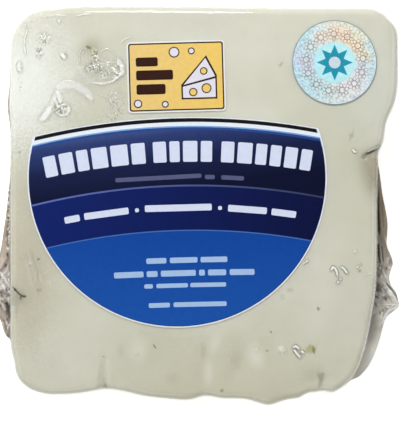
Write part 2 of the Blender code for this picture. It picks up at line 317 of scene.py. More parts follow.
def ovalMarkGroup():
    # an oval mark on the surface with a ragged edge: 1 inside, 0 outside
    group = bpy.data.node_groups.new("ovalMark", "ShaderNodeTree")
    addSocket, nodes = group.interface.new_socket, group.nodes
    addSocket(name="Position", in_out="INPUT", socket_type="NodeSocketVector")
    for name in ("Centre X", "Centre Y", "Half Length", "Half Width", "Turn", "Raggedness", "Softness"):
        addSocket(name=name, in_out="INPUT", socket_type="NodeSocketFloat")
    addSocket(name="Mask", in_out="OUTPUT", socket_type="NodeSocketFloat")
    given = nodes.new("NodeGroupInput").outputs
    centre = addNode(nodes, "CombineXYZ", {"X": given["Centre X"], "Y": given["Centre Y"]})
    shift = addNode(nodes, "VectorMath", {0: given["Position"], 1: centre}, operation="SUBTRACT")
    flat = addNode(nodes, "VectorMath", {0: shift, 1: (1.0, 1.0, 0.0)}, operation="MULTIPLY")
    turned = addNode(nodes, "VectorRotate", {"Vector": flat, "Angle": given["Turn"]}, rotation_type="Z_AXIS")
    size = addNode(nodes, "CombineXYZ", {"X": given["Half Length"], "Y": given["Half Width"], "Z": 1.0})
    shrunk = addNode(nodes, "VectorMath", {0: turned, 1: size}, operation="DIVIDE")
    length = addNode(nodes, "VectorMath", {0: shrunk}, "Value", operation="LENGTH")
    noise = addNoise(nodes, given["Position"], 1600.0, 3.0, 0.6)
    ragged = calculate(nodes, "MULTIPLY", calculate(nodes, "SUBTRACT", noise, 0.5), given["Raggedness"])
    mask = addNode(nodes, "MapRange", {
        "Value": calculate(nodes, "ADD", length, ragged), "From Max": 1.0, "To Min": 1.0, "To Max": 0.0,
        "From Min": calculate(nodes, "SUBTRACT", 1.0, given["Softness"])}, interpolation_type="SMOOTHSTEP")
    group.links.new(mask, nodes.new("NodeGroupOutput").inputs["Mask"])
    return group


ovalMark = ovalMarkGroup()


def creamyCheeseMaterial(settings):
    material, nodes = newMaterial("creamyCheese")
    position = addNode(nodes, "TexCoord", {}, "Object")
    colour = mixColours(nodes, *(
        colourRamp(nodes, addNoise(nodes, position, scale, detail, 0.55), ((low, dark), (high, light)))
        for scale, detail, low, high, dark, light in settings["tones"]))
    for x, y, halfLength, halfWidth, turn, strength, tint, softness in settings["marks"]:
        mask = addNode(nodes, "Group", {
            "Position": position, "Centre X": x * mm, "Centre Y": y * mm, "Half Length": halfLength * mm,
            "Half Width": halfWidth * mm, "Turn": -math.radians(turn), "Raggedness": settings["raggedness"],
            "Softness": softness}, "Mask", node_tree=ovalMark)
        strengthThere = calculate(nodes, "MULTIPLY", mask, strength)
        colour = mixColours(nodes, colour, (*linear(*tint), 1.0), strengthThere, "MIX")
    shader = addNode(nodes, "BsdfPrincipled", {
        "Base Color": colour, "Normal": addBump(nodes, addNoise(nodes, position, 420.0, 4.0), 0.25, 0.0002),
        "Roughness": 0.5, "Subsurface Weight": settings["subsurface"], "Subsurface Scale": 0.004,
        "Subsurface Radius": (1.0, 0.75, 0.45), "Specular IOR Level": 0.25})
    addNode(nodes, "OutputMaterial", {"Surface": shader})
    return material


def filmMaterial(name, settings):
    # clear film: see-through except where Fresnel turns it to gloss; where it is tinted by its attribute,
    # hazed where it is creased or doubled, with painted highlights and painted shade
    material, nodes = newMaterial(name)
    position = addNode(nodes, "TexCoord", {}, "Object")
    ripple = addNoise(nodes, position, settings["rippleScale"], 3.0)
    normal = addBump(nodes, ripple, settings["ripple"], 0.0003)
    clear = addNode(nodes, "BsdfTransparent", {"Color": (*settings["tint"], 1.0)})
    gloss = addNode(nodes, "BsdfGlossy", {"Roughness": settings["roughness"], "Normal": normal})
    slant = addNode(nodes, "LayerWeight", {"Normal": normal}, "Facing")
    steep = calculate(nodes, "POWER", slant, 5.0)
    mirrored = calculate(nodes, "MULTIPLY_ADD", steep, 0.92, settings["gloss"])
    if settings["tintedByAttribute"]:
        raised = addNode(nodes, "Attribute", {}, "Fac", attribute_name="gloss")
        mirrored = calculate(nodes, "MULTIPLY", mirrored, raised)
    surface = addNode(nodes, "MixShader", {0: mirrored, 1: clear, 2: gloss})
    if settings["tintedByAttribute"]:
        tintAndPaintedLight = addNode(nodes, "Attribute", {}, "Color", attribute_name="tintAndPaintedLight")
        hazeAndLightShader = addNode(nodes, "BsdfPrincipled", {
            "Base Color": tintAndPaintedLight, "Normal": normal, "Roughness": 0.25, "Specular IOR Level": 0.7})
        surface = addNode(nodes, "MixShader", {0: tintAndPaintedLight.node.outputs["Alpha"], 1: surface, 2: hazeAndLightShader})
    addNode(nodes, "OutputMaterial", {"Surface": surface})
    return material


def printMaterial(name, grain, tones, direction=None, span=None):
    # coated paper with printed ink: one tone, or several along direction over span, with a faint uneven grain
    material, nodes = newMaterial(name)
    position = addNode(nodes, "TexCoord", {}, "Object")
    ink = (*linear(*tones[0][1]), 1.0)
    if direction:
        low, high = span[0] * mm, span[1] * mm
        across = {0: position, 1: (*direction, 0.0)}
        slope = addNode(nodes, "VectorMath", across, "Value", operation="DOT_PRODUCT")
        share = addNode(nodes, "MapRange", {"Value": slope, "From Min": low, "From Max": high})
        ink = colourRamp(nodes, share, [(place, linear(*tone)) for place, tone in tones])
    noise = addNoise(nodes, position, 900.0, 2.0)
    grainTone = colourRamp(nodes, noise, ((0.3, (1 - grain,) * 3), (0.7, (1.0, 1.0, 1.0))))
    shader = addNode(nodes, "BsdfPrincipled", {
        "Base Color": mixColours(nodes, ink, grainTone), "Normal": addBump(nodes, noise, 0.08, 0.0001),
        "Roughness": 0.32, "Specular IOR Level": 0.22})
    addNode(nodes, "OutputMaterial", {"Surface": shader})
    return material


# Camera: straight above the labels, as the pack lies; frameWidth is what it shows at focusHeight
cameraSettings = {"place": (0.53, -1.52, 446.0), "frameWidth": 101.6, "focusHeight": 26.0, "sensor": 36.0,
                  "clip": (0.01, 20.0)}
camera = bpy.data.objects.new("camera", bpy.data.cameras.new("camera"))
scene.collection.objects.link(camera)
camera.location = [value * mm for value in cameraSettings["place"]]
camera.data.sensor_fit = "HORIZONTAL"
camera.data.sensor_width = cameraSettings["sensor"]
focusDistance = cameraSettings["place"][2] - cameraSettings["focusHeight"]
camera.data.lens = cameraSettings["sensor"] * focusDistance / cameraSettings["frameWidth"]
camera.data.clip_start, camera.data.clip_end = cameraSettings["clip"]
scene.camera = camera
print("camera ready")

# The cheese itself, a skin's depth inside the film
cheese = {
    "segments": 250,
    "skin": 0.25,
    "subsurface": 0.25,
    "raggedness": 1.1,
    # noise scale, detail, low and high end, dark and light colour
    "tones": (
        (28.0, 2.0, 0.35, 0.65, linear(214, 213, 195), linear(225, 224, 209)),
        (160.0, 3.0, 0.3, 0.7, (0.95, 0.945, 0.93), (1.0, 1.0, 1.0)),
    ),
    # x, y, half length, half width, turn, strength, tint, softness
    "marks": (
        (-27.8, 40.3, 1.1, 0.4, -30, 0.8, (120, 112, 60), 0.7),
        (-27, 41.6, 3.4, 2.4, 0, 0.3, (186, 182, 150), 0.9),
        (21.1, 35.9, 1.2, 0.6, 60, 0.5, (150, 156, 130), 0.8),
        (-11, -35.9, 1, 0.25, -55, 0.8, (90, 80, 50), 0.6),
        (18.6, -32.2, 0.55, 0.22, -75, 0.8, (90, 80, 50), 0.6),
        (28.7, -36.5, 1.9, 1.4, 20, 0.8, (176, 174, 108), 0.6),
        (29.5, -36.9, 0.55, 1.3, 10, 0.85, (92, 96, 40), 0.7),
        # painted light and shade: the broad marks below darken the left side, the bottom and the rounded top
        # edge, and lighten the upper right with a cool painted reflection and the top-left corner with
        # painted sheen
        (-43, -16, 11, 34, 0, 0.62, (196, 188, 164), 0.95), (46, 30, 15, 26, 0, 0.4, (222, 226, 218), 0.95),
        (8, -46, 46, 20, 0, 0.62, (206, 202, 176), 0.95), (0, 50, 34, 9, 0, 0.5, (210, 210, 196), 0.95),
        (-46, 31, 20, 26, 0, 1, (248, 250, 243), 0.95),
        # painted light and shade of the soft lobes along the bottom: the pale ovals are lit crests, the
        # beige-grey ones shaded hollows, and the small near-white one is a painted highlight
        (-15.2, -37, 3.4, 4.6, 0, 0.4, (238, 237, 224), 0.95),
        (4.3, -35.2, 2.2, 4, -20, 0.4, (238, 237, 224), 0.95),
        (14.7, -38.4, 3.4, 5, 20, 0.5, (242, 241, 229), 0.95),
        (2.6, -42.8, 2, 5, 0, 0.38, (238, 237, 222), 0.95),
        (21.1, -36.4, 1.3, 1.2, 0, 0.7, (250, 249, 238), 0.9),
        (9.9, -39.5, 2.6, 4, 0, 0.34, (182, 180, 152), 0.95),
        (1.4, -37.2, 1, 3.4, 0, 0.32, (178, 176, 146), 0.95),
        (-6.6, -44.1, 3, 2.6, 0, 0.3, (190, 180, 158), 0.95),
        (-19.6, -36.8, 1.4, 3.2, 0, 0.28, (186, 184, 158), 0.95),
        # painted shade in the notch at the bottom right
        (31, -43.6, 0.8, 2.2, 15, 0.45, (150, 150, 118), 0.95),
        (-24.1, -38.5, 0.35, 0.25, 0, 0.6, (110, 100, 70), 0.7),
        (30.5, -26, 0.5, 0.3, -60, 0.5, (130, 122, 90), 0.7),
        (17.6, -37, 0.5, 0.4, 0, 0.45, (130, 122, 90), 0.7),
        (23.5, -21.5, 1.4, 1, 0, 0.3, (150, 146, 112), 0.9),
        (-40.6, -13.6, 0.5, 0.4, 0, 0.55, (140, 130, 100), 0.7),
        (-45.4, 13.6, 0.3, 0.3, 0, 0.7, (100, 90, 70), 0.6),
    ),
}
cheeseMesh = wrappedShell("creamyCheese", cheese["segments"])
offsetAlongNormals(cheeseMesh, np.full(len(cheeseMesh.vertices), -cheese["skin"]))
cheesePiece = pieceFrom(cheeseMesh, [creamyCheeseMaterial(cheese)])
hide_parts("cheese_pack")

# Film drawn tight round it; ripples, gloss and tint of its plain and its creased parts
film = {
    "segments": 310,
    "clear": {"rippleScale": 90.0, "ripple": 0.12, "roughness": 0.1, "gloss": 0.045, "tintedByAttribute": False,
              "tint": (0.985, 0.985, 0.98)},
    "creased": {"rippleScale": 300.0, "ripple": 0.2, "roughness": 0.1, "gloss": 0.06, "tintedByAttribute": True,
                "tint": (1.0, 1.0, 1.0)},
}
filmPiece = pieceFrom(wrappedShell("tightFilm", film["segments"]), [filmMaterial("clearFilm", film["clear"])])
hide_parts("cheese_pack")


def lineDistance(x, y, line):
    # distance to a line given as x, y, x, y, and how far along it from 0 to 1
    best, where = np.full(x.shape, 1e9), np.zeros(x.shape)
    points = list(zip(line[::2], line[1::2]))
    spans = list(zip(points[:-1], points[1:]))
    total = sum(math.dist(a, b) for a, b in spans)
    before = 0.0
    for (ax, ay), (bx, by) in spans:
        length = math.dist((ax, ay), (bx, by))
        share = np.clip(((x - ax) * (bx - ax) + (y - ay) * (by - ay)) / length ** 2, 0.0, 1.0)
        distance = np.hypot(x - ax - share * (bx - ax), y - ay - share * (by - ay))
        nearer = distance < best
        best = np.where(nearer, distance, best)
        where = np.where(nearer, (before + share * length) / total, where)
        before += length
    return best, where


def tapered(along, steepness, start):
    # a line's share of its full width, less toward both ends
    return np.clip(np.minimum(along, 1 - along) * steepness + start, 0, 1)


def blendTint(tintAndPaintedLight, amount, tone):
    # lays a tone over the tintAndPaintedLight attribute by an amount from 0 to 1
    amount = np.clip(amount, 0.0, 1.0)
    alpha = tintAndPaintedLight[:, 3] + amount - tintAndPaintedLight[:, 3] * amount
    share = np.where(alpha > 1e-6, amount / np.maximum(alpha, 1e-6), 0.0)
    tintAndPaintedLight[:, :3] += (np.asarray(linear(*tone)) - tintAndPaintedLight[:, :3]) * share[:, None]
    tintAndPaintedLight[:, 3] = alpha


def storeLook(mesh, tintAndPaintedLight, gloss):
    looks = (("tintAndPaintedLight", "FLOAT_COLOR", "color", tintAndPaintedLight), ("gloss", "FLOAT", "value", gloss))
    for name, kind, field, values in looks:
        layer = mesh.attributes.new(name, kind, "POINT")
        layer.data.foreach_set(field, np.ascontiguousarray(values).ravel())


# A patch's rim is sunk in the film and its inside rises clear of it; its marks fade over the outer cells
creasing = {"fadeCells": 14.0, "rimCells": 3.0, "rise": 0.04, "sunk": 0.03, "fine": (0.5, 51),
            "coarse": (1.6, 52), "speckSeed": 61}


def filmPatch(name, patch):
    # a dense piece of the film with its own low relief and its own white and dark marks: cloudy haze with
    # painted highlights and sparkle, painted shade beside ridges, in creases and below folds, and a few real
    # specks and smudges
    uLow, uHigh, vLow, vHigh = patch["span"]
    columns, rows = patch["cells"]
    bm = bmesh.new()
    bmesh.ops.create_grid(bm, x_segments=columns, y_segments=rows, size=0.5)
    mesh = meshFrom(bm, name)
    flat = readPoints(mesh)
    u, v = uLow + (flat[:, 0] + 0.5) * (uHigh - uLow), vLow + (flat[:, 1] + 0.5) * (vHigh - vLow)
    x, y, z = wrappedPoints(u, v)
    writePoints(mesh, np.stack([x, y, z], axis=1) * mm)
    border = np.minimum(np.minimum(flat[:, 0] + 0.5, 0.5 - flat[:, 0]) * columns,
                        np.minimum(flat[:, 1] + 0.5, 0.5 - flat[:, 1]) * rows)
    inside = smoothStep(0.0, creasing["fadeCells"], border)
    base = creasing["rise"] * smoothStep(0.0, creasing["rimCells"], border) - creasing["sunk"]
    lift = base.copy()
    tintAndPaintedLight = np.zeros((len(x), 4))
    tintAndPaintedLight[:, :3] = linear(*hazeAndHighlightWhite)
    fine, coarse = softNoise(x, y, *creasing["fine"]), softNoise(x, y, *creasing["coarse"])
    for cx, cy, rx, ry, amount, tone in patch.get("hazesAndPaintedLight", ()):
        reach = np.exp(-(((x - cx) / rx) ** 2 + ((y - cy) / ry) ** 2))
        blendTint(tintAndPaintedLight, inside * amount * reach * (1 + 0.08 * coarse), tone)
    for cx, cy, rx, ry, density, size, height, shadeShare in patch.get("specks", ()):
        reach = np.exp(-(((x - cx) / rx) ** 2 + ((y - cy) / ry) ** 2) ** 1.5)
        grain = softNoise(x, y, size, creasing["speckSeed"])
        bright, dark = (smoothStep(1 - density, 1.2 - density, field) for field in (grain, -grain))
        lift += inside * height * reach * bright
        blendTint(tintAndPaintedLight, inside * 0.9 * reach * bright, hazeAndHighlightWhite)
        blendTint(tintAndPaintedLight, inside * shadeShare * reach * dark, paintedShadeGrey)
    for line, width, height, white, shade, *texture in patch["lines"]:
        roughen = texture[0] if texture else rough
        distance, along = lineDistance(x, y, line)
        distance = distance + 0.18 * width * fine
        taper = tapered(along, 6, 0.35)
        ridge = np.exp(-(distance / (width * taper)) ** 4)
        lift += inside * height * ridge * (1 + 0.35 * coarse)
        rim = np.exp(-((distance - 1.5 * width) / (0.4 * width)) ** 2)
        blendTint(tintAndPaintedLight, inside * shade * rim * taper, paintedShadeGrey)
        whiteUnevenness = np.clip(1 - 0.3 * roughen + roughen * fine, 0, 1)
        blendTint(tintAndPaintedLight, inside * white * ridge * whiteUnevenness, hazeAndHighlightWhite)
    for line, width, depth, amount, tone in patch.get("creases", ()):
        distance, along = lineDistance(x, y, line)
        groove = np.exp(-(distance / (width * tapered(along, 8, 0.3))) ** 2)
        lift -= inside * depth * groove
        blendTint(tintAndPaintedLight, inside * amount * groove * np.clip(0.9 + 0.3 * coarse, 0, 1), tone)
    offsetAlongNormals(mesh, lift)
    piece = pieceFrom(mesh, [creasedFilm])
    storeLook(piece.data, tintAndPaintedLight, smoothStep(0.0, 0.05, np.abs(lift - base)))


creasedFilm = filmMaterial("creasedFilm", film["creased"])
# the white is cloudy haze and painted highlight, the grey is painted shade
hazeAndHighlightWhite, paintedShadeGrey, olive = (253, 254, 249), (138, 135, 114), (158, 152, 104)
smooth, rough = 0.1, 0.5  # how unevenly the white of a line lies
# span: the patch's part of the wrapped grid; hazesAndPaintedLight: centre, radii, amount, tone; besides
# cloudy haze they hold painted sheen, painted highlights and painted shadow
# specks: centre, radii, density, size, height, share of dark ones; the bright ones are painted sparkle, the
# dark ones painted shade
# lines: x and y in turn, width, height, white (cloudy haze and painted highlight on the ridge), dark rim
# (painted shade beside it); smooth where the white lies evenly
# creases: x and y in turn, width, depth, amount, tone; the dark tones are painted shade in the groove, while
# the olive ones and a few small brown ones are real smudges and specks
patches = {}
patches["airPockets"] = {
    "span": (-0.72, -0.19, 0.27, 0.71), "cells": (300, 250),
    "hazesAndPaintedLight": (
        # painted sheen and painted highlights: the broad white haze over the corner is cloudy film lit up
        # with painted sheen, and the small white spots are painted highlights
        (-40, 38, 15, 12, 0.22, hazeAndHighlightWhite), (-33.7, 24.3, 1.1, 1, 0.7, hazeAndHighlightWhite),
        (-27.2, 39.8, 2.8, 2, 0.22, olive), (-26.4, 35.8, 3, 3.4, 0.14, (196, 194, 176)),
        (-34.8, 27, 1.2, 2, 0.3, hazeAndHighlightWhite),
    ),
    "specks": (
        (-26.1, 36.9, 1.2, 2.8, 0.75, 0.28, 0.1, 0.8), (-26.6, 34.9, 2.3, 1.2, 0.8, 0.28, 0.1, 0.9),
        (-22.6, 34.6, 2.6, 2.4, 0.75, 0.28, 0.1, 0.3), (-20.4, 34.2, 1.7, 2.6, 0.9, 0.3, 0.12, 0.2),
        (-24.6, 32.6, 2.6, 1, 0.45, 0.28, 0.08, 0.3), (-20.8, 26.6, 2.2, 2.4, 0.6, 0.3, 0.1, 0.4),
        (-21, 23.4, 2.2, 1.6, 0.6, 0.3, 0.1, 0.45), (-24, 22.2, 1.8, 1, 0.55, 0.3, 0.1, 0.5),
        (-34.8, 24.7, 2, 1.5, 0.9, 0.36, 0.14, 0.7), (-39.2, 42.6, 1.6, 1.4, 0.85, 0.34, 0.14, 0.7),
        (-40.4, 38.9, 0.9, 1.4, 0.85, 0.36, 0.14, 0.7), (-34.2, 38, 1, 0.9, 0.85, 0.36, 0.12, 0.4),
        (-45.4, 35.3, 0.8, 1.4, 0.7, 0.32, 0.14, 0.5), (-45.2, 31, 0.7, 2.2, 0.45, 0.3, 0.1, 0.3),
        (-43, 46, 1.2, 1.2, 0.4, 0.3, 0.1, 0.2),
    ),
    "lines": (
        ((-40, 20.9, -39.2, 22.2, -38.3, 23.6, -37.4, 24.8), 0.8, 0.08, 0.97, 0.12, smooth),
        ((-37.5, 24.8, -36.7, 26.9, -35.8, 29.1), 0.5, 0.05, 0.55, 0.12, smooth),
        ((-35.7, 29.2, -35.2, 27.6, -34.9, 26), 0.5, 0.06, 0.75, 0.05, smooth),
        ((-36.5, 27.4, -36, 26.2, -35.7, 25.2), 0.35, 0.06, 0.65, 0.1),
        ((-35.8, 29.8, -34.3, 30.6, -31.4, 30.5, -28.6, 29, -26.9, 27.3), 1.05, 0.04, 0.58, 0.03, smooth),
        ((-35.3, 31, -33.6, 31.7, -31.2, 31.5), 0.16, 0.05, 0.45, 0.1),
        ((-28.2, 28, -27.2, 26.9, -27.2, 26.3), 0.45, 0.05, 0.5, 0.1),
        ((-36, 23.6, -34.8, 22.9, -33.4, 23.1, -32.7, 24.2, -33, 25.4), 0.32, 0.08, 0.85, 0.2),
        ((-34.8, 38.6, -34.3, 37.9, -33.8, 37.6), 0.42, 0.1, 0.9, 0.2),
        ((-28.9, 40.3, -29.8, 39.5, -30.2, 38.2, -30.1, 37, -29.8, 36.2), 0.15, 0.1, 0.5, 0.45),
        ((-28.3, 40.1, -29.1, 39.2, -29.4, 38), 0.12, 0.08, 0.35, 0.3),
        ((-30.1, 35.4, -29.7, 33.7, -28.4, 32.1, -26.6, 31.2), 0.75, 0.04, 0.28, 0.03),
        ((-26.6, 31.2, -24.1, 30.9, -21.8, 31.5, -20, 32.8), 0.34, 0.08, 0.75, 0.12),
        ((-20, 32.8, -19.2, 33.9, -19.3, 35.4, -20.3, 37), 0.55, 0.12, 0.92, 0.15),
        ((-20.6, 37.7, -21.6, 39, -22.8, 39.9, -24.1, 39.6, -24.7, 38.7), 0.14, 0.08, 0.42, 0.2),
        ((-44, 46.2, -44, 45.2), 0.22, 0.12, 0.6, 0.2),
        ((-43.4, 44.8, -44.1, 42.8, -44.3, 40.8, -43.9, 38.4), 0.2, 0.12, 0.9, 0.3),
        ((-45.4, 36.4, -45.7, 35.4, -45.2, 34.2), 0.42, 0.15, 0.95, 0.3),
        ((-31, 48.2, -29.2, 48.7, -27, 48.8), 0.22, 0.06, 0.75, 0.03),
        ((-38.8, 48.1, -36, 48.5, -33.6, 48.3), 0.22, 0.05, 0.55, 0.02),
        ((-35.4, 47.3, -35.3, 46.6), 0.35, 0.15, 0.9, 0.2),
        ((-19.6, 41.4, -18.6, 42.4, -17.2, 42.9), 0.2, 0.06, 0.65, 0.03),
        ((-25.6, 28.4, -23.4, 27.6, -21.6, 28.6), 0.18, 0.07, 0.35, 0.1),
        ((-22.9, 27.6, -21.8, 26, -20.4, 25), 0.3, 0.07, 0.4, 0.1),
    ),
    "creases": (
        ((-28.4, 40.6, -27.9, 40.2, -27.2, 40.1), 0.3, 0, 0.8, (138, 130, 78)),
        ((-26.2, 39.4, -26, 38.4, -26.4, 37.6), 0.3, 0, 0.4, olive),
    ),
}
patches["rightFold"] = {
    "span": (0.44, 0.73, -0.34, 0.28), "cells": (132, 290),
    # painted shadow: the beige tones below the fold
    "hazesAndPaintedLight": ((44.6, 10.8, 3, 2.8, 0.55, (184, 177, 153)), (45, 7, 2.8, 4.4, 0.46, (176, 169, 146))),
    "lines": (
        # the white on these lines is painted highlight, their dark rims painted shade
        ((33.9, -16.5, 34.3, -15.7, 34.9, -16, 35.3, -16.9, 35.5, -17.9), 0.27, 0.14, 1, 0.8, smooth),
        ((36.5, -15.7, 37.1, -16, 38, -17.3), 0.27, 0.14, 1, 0.8, smooth),
        ((36.3, -18.7, 36.2, -18.9), 0.34, 0.1, 1, 0.6, smooth),
        ((35.8, -19.4, 35.6, -19.7), 0.34, 0.1, 1, 0.6, smooth),
        ((40.5, -15.9, 40.7, -15.5), 0.26, 0.08, 0.95, 0.4, smooth),
        ((41.4, -15.1, 41.6, -15), 0.24, 0.08, 0.9, 0.4, smooth),
        ((39.9, -11.6, 40.2, -11.8), 0.42, 0.05, 0.7, 0.1, smooth),
        ((46, -18.3, 46.1, -18.4), 0.3, 0.08, 1, 0.4, smooth),
        ((42, -18, 44.6, -17.2), 0.35, 0.12, 0.2, 0),
        ((39.5, 14.2, 39.8, 13.7, 40.3, 13.6), 0.28, 0.12, 1, 0.6, smooth),
        ((46.6, 15.6, 45.5, 14.9, 44.4, 14.3, 43.2, 13.7), 0.2, 0.18, 0.55, 0),
        ((42.7, 11.9, 42.8, 11.5), 0.3, 0.1, 0.25, 0),
    ),
    "creases": (
        # painted shade darkens the fold's crease and the small dents
        ((46.9, 15.4, 45.5, 14.4, 44.4, 13.75, 43.5, 13.3, 42.4, 12.9), 0.3, 0.2, 0.95, (92, 86, 66)),
        ((46.8, 15.2, 46.2, 14.8, 45.4, 14.2), 0.3, 0.1, 0.7, (70, 64, 48)),
        ((42.9, 13, 42.2, 12.6, 42, 12), 0.45, 0.08, 0.4, (120, 114, 90)),
        ((38.8, 17.9, 39.3, 17.7), 1.2, 0.1, 0.16, (150, 150, 132)),
        ((47.2, 24.6, 48.6, 24.2), 0.9, 0.1, 0.16, (150, 150, 132)),
        ((41, -16.4, 41.4, -16.9), 0.45, 0.05, 0.35, (166, 158, 132)),
    ),
}
patches["edgeGlints"] = {
    "span": (0.27, 0.43, -0.36, -0.17), "cells": (84, 100),
    "lines": (
        # white glints painted as highlights, with painted shade rims
        ((26.7, -14.9, 27.3, -14.5), 0.2, 0.08, 0.8, 0.3, smooth),
        ((27.5, -14.3, 27.9, -14.1), 0.3, 0.1, 1, 0.5, smooth),
        ((21.5, -22.9, 21.65, -23.4, 21.7, -23.9), 0.26, 0.1, 1, 0.6, smooth),
    ),
}
patches["cornerWeb"] = {
    "span": (0.30, 0.73, -0.73, -0.26), "cells": (200, 220),
    "hazesAndPaintedLight": ((48, -33, 3.4, 12, 0.4, (204, 200, 196)),),
    "lines": (
        ((45.2, -18.4, 44.9, -23, 44.2, -27.3, 43.4, -31.9, 42.4, -35.4, 41.2, -39), 0.3, 0.1, 0.3, 0),
    ),
    "creases": (
        # painted shade along the slab's edge under the web; the second is a real speck
        ((44.9, -25, 44.3, -29.5, 43.5, -33.5, 42.4, -37), 0.25, 0.06, 0.22, (150, 148, 134)),
        ((30.5, -26, 30.8, -26.6), 0.3, 0.05, 0.5, (130, 122, 90)),
    ),
}
patches["leftCracks"] = {
    "span": (-0.73, -0.52, -0.42, -0.10), "cells": (96, 146),
    # painted shade round the crack
    "hazesAndPaintedLight": ((-46.5, -23.8, 2.6, 2.4, 0.25, (160, 158, 136)),),
    "lines": (
        ((-42.9, -11.8, -42.3, -14.6, -41.6, -17, -41.2, -19.4), 0.45, 0.12, 0.18, 0.15),
        ((-42.8, -14.4, -42.5, -15.2), 0.28, 0.15, 0.4, 0.1),
        ((-45, -12.6, -44.2, -13.6), 0.3, 0.12, 0.25, 0.1),
        ((-47, -25.6, -47, -29), 0.5, 0.1, 0.35, 0.1),
    ),
    "creases": (
        # painted shade in the crack and its branches; the last one is a real speck
        ((-47.4, -20.6, -46.7, -21.3, -46, -22.1, -45.1, -22.9), 0.2, 0.16, 0.85, (58, 60, 46)),
        ((-46.8, -21.3, -46.5, -21.6), 0.32, 0.1, 0.85, (40, 42, 30)),
        ((-45.2, -22.9, -44.3, -23.15, -43.8, -23.1), 0.26, 0.1, 0.8, (60, 62, 46)),
        ((-45.1, -23, -45.2, -24), 0.24, 0.1, 0.55, (80, 82, 64)),
        ((-41, -21.6, -39.6, -21.4), 0.5, 0.05, 0.18, (140, 128, 104)),
        ((-40.6, -13.6, -40.5, -13.8), 0.5, 0.05, 0.35, (150, 132, 106)),
    ),
}
patches["bottomCreases"] = {
    "span": (-0.34, 0.50, -0.73, -0.44), "cells": (350, 122),
    "lines": (
        # the white squiggles by the green spot are painted highlights with painted shade rims
        ((24.2, -36.1, 24.9, -35.8, 25.7, -36.4), 0.3, 0.14, 1, 0.6, smooth),
        ((24.5, -36.7, 25.2, -37.7, 26.1, -38.7), 0.3, 0.14, 1, 0.6, smooth),
        ((26.4, -37, 26.9, -37.5), 0.3, 0.12, 1, 0.5, smooth),
        ((14.8, -36.4, 14.9, -37), 0.4, 0.2, 0.45, 0.1),
        ((21.4, -36.4, 21.9, -37.6), 0.6, 0.2, 0.3, 0.1),
        ((-15.8, -37.2, -15, -38.2), 0.5, 0.15, 0.2, 0.05),
    ),
    "creases": (
        # painted shade in the grooves and the notch along the bottom
        ((-24, -44, -23.8, -45.4, -23.4, -46.8), 0.2, 0.25, 0.6, (110, 106, 84)),
        ((31.8, -42.5, 31.6, -44.1, 30.9, -46.4), 0.5, 0.1, 0.2, (136, 136, 112)),
        ((6, -46.8, 6.2, -47.4), 0.4, 0.1, 0.4, (140, 138, 112)),
    ),
}
for patchName, patch in patches.items():
    filmPatch(patchName, patch)

# Gathered film at both side ends: pleats that run out to the points where it is drawn together
tails = {
    "level": 12.0,
    "drift": 1.4,
    "rootDepth": 2.5,
    "thickness": 0.25,
    "across": 60,
    "along": 460,
    "endDepth": 2.4,
    "endTaper": 3.0,
    "material": {"rippleScale": 500.0, "ripple": 0.5, "roughness": 0.16, "gloss": 0.06, "tintedByAttribute": True,
                 "tint": (0.9, 0.88, 0.86)},
}
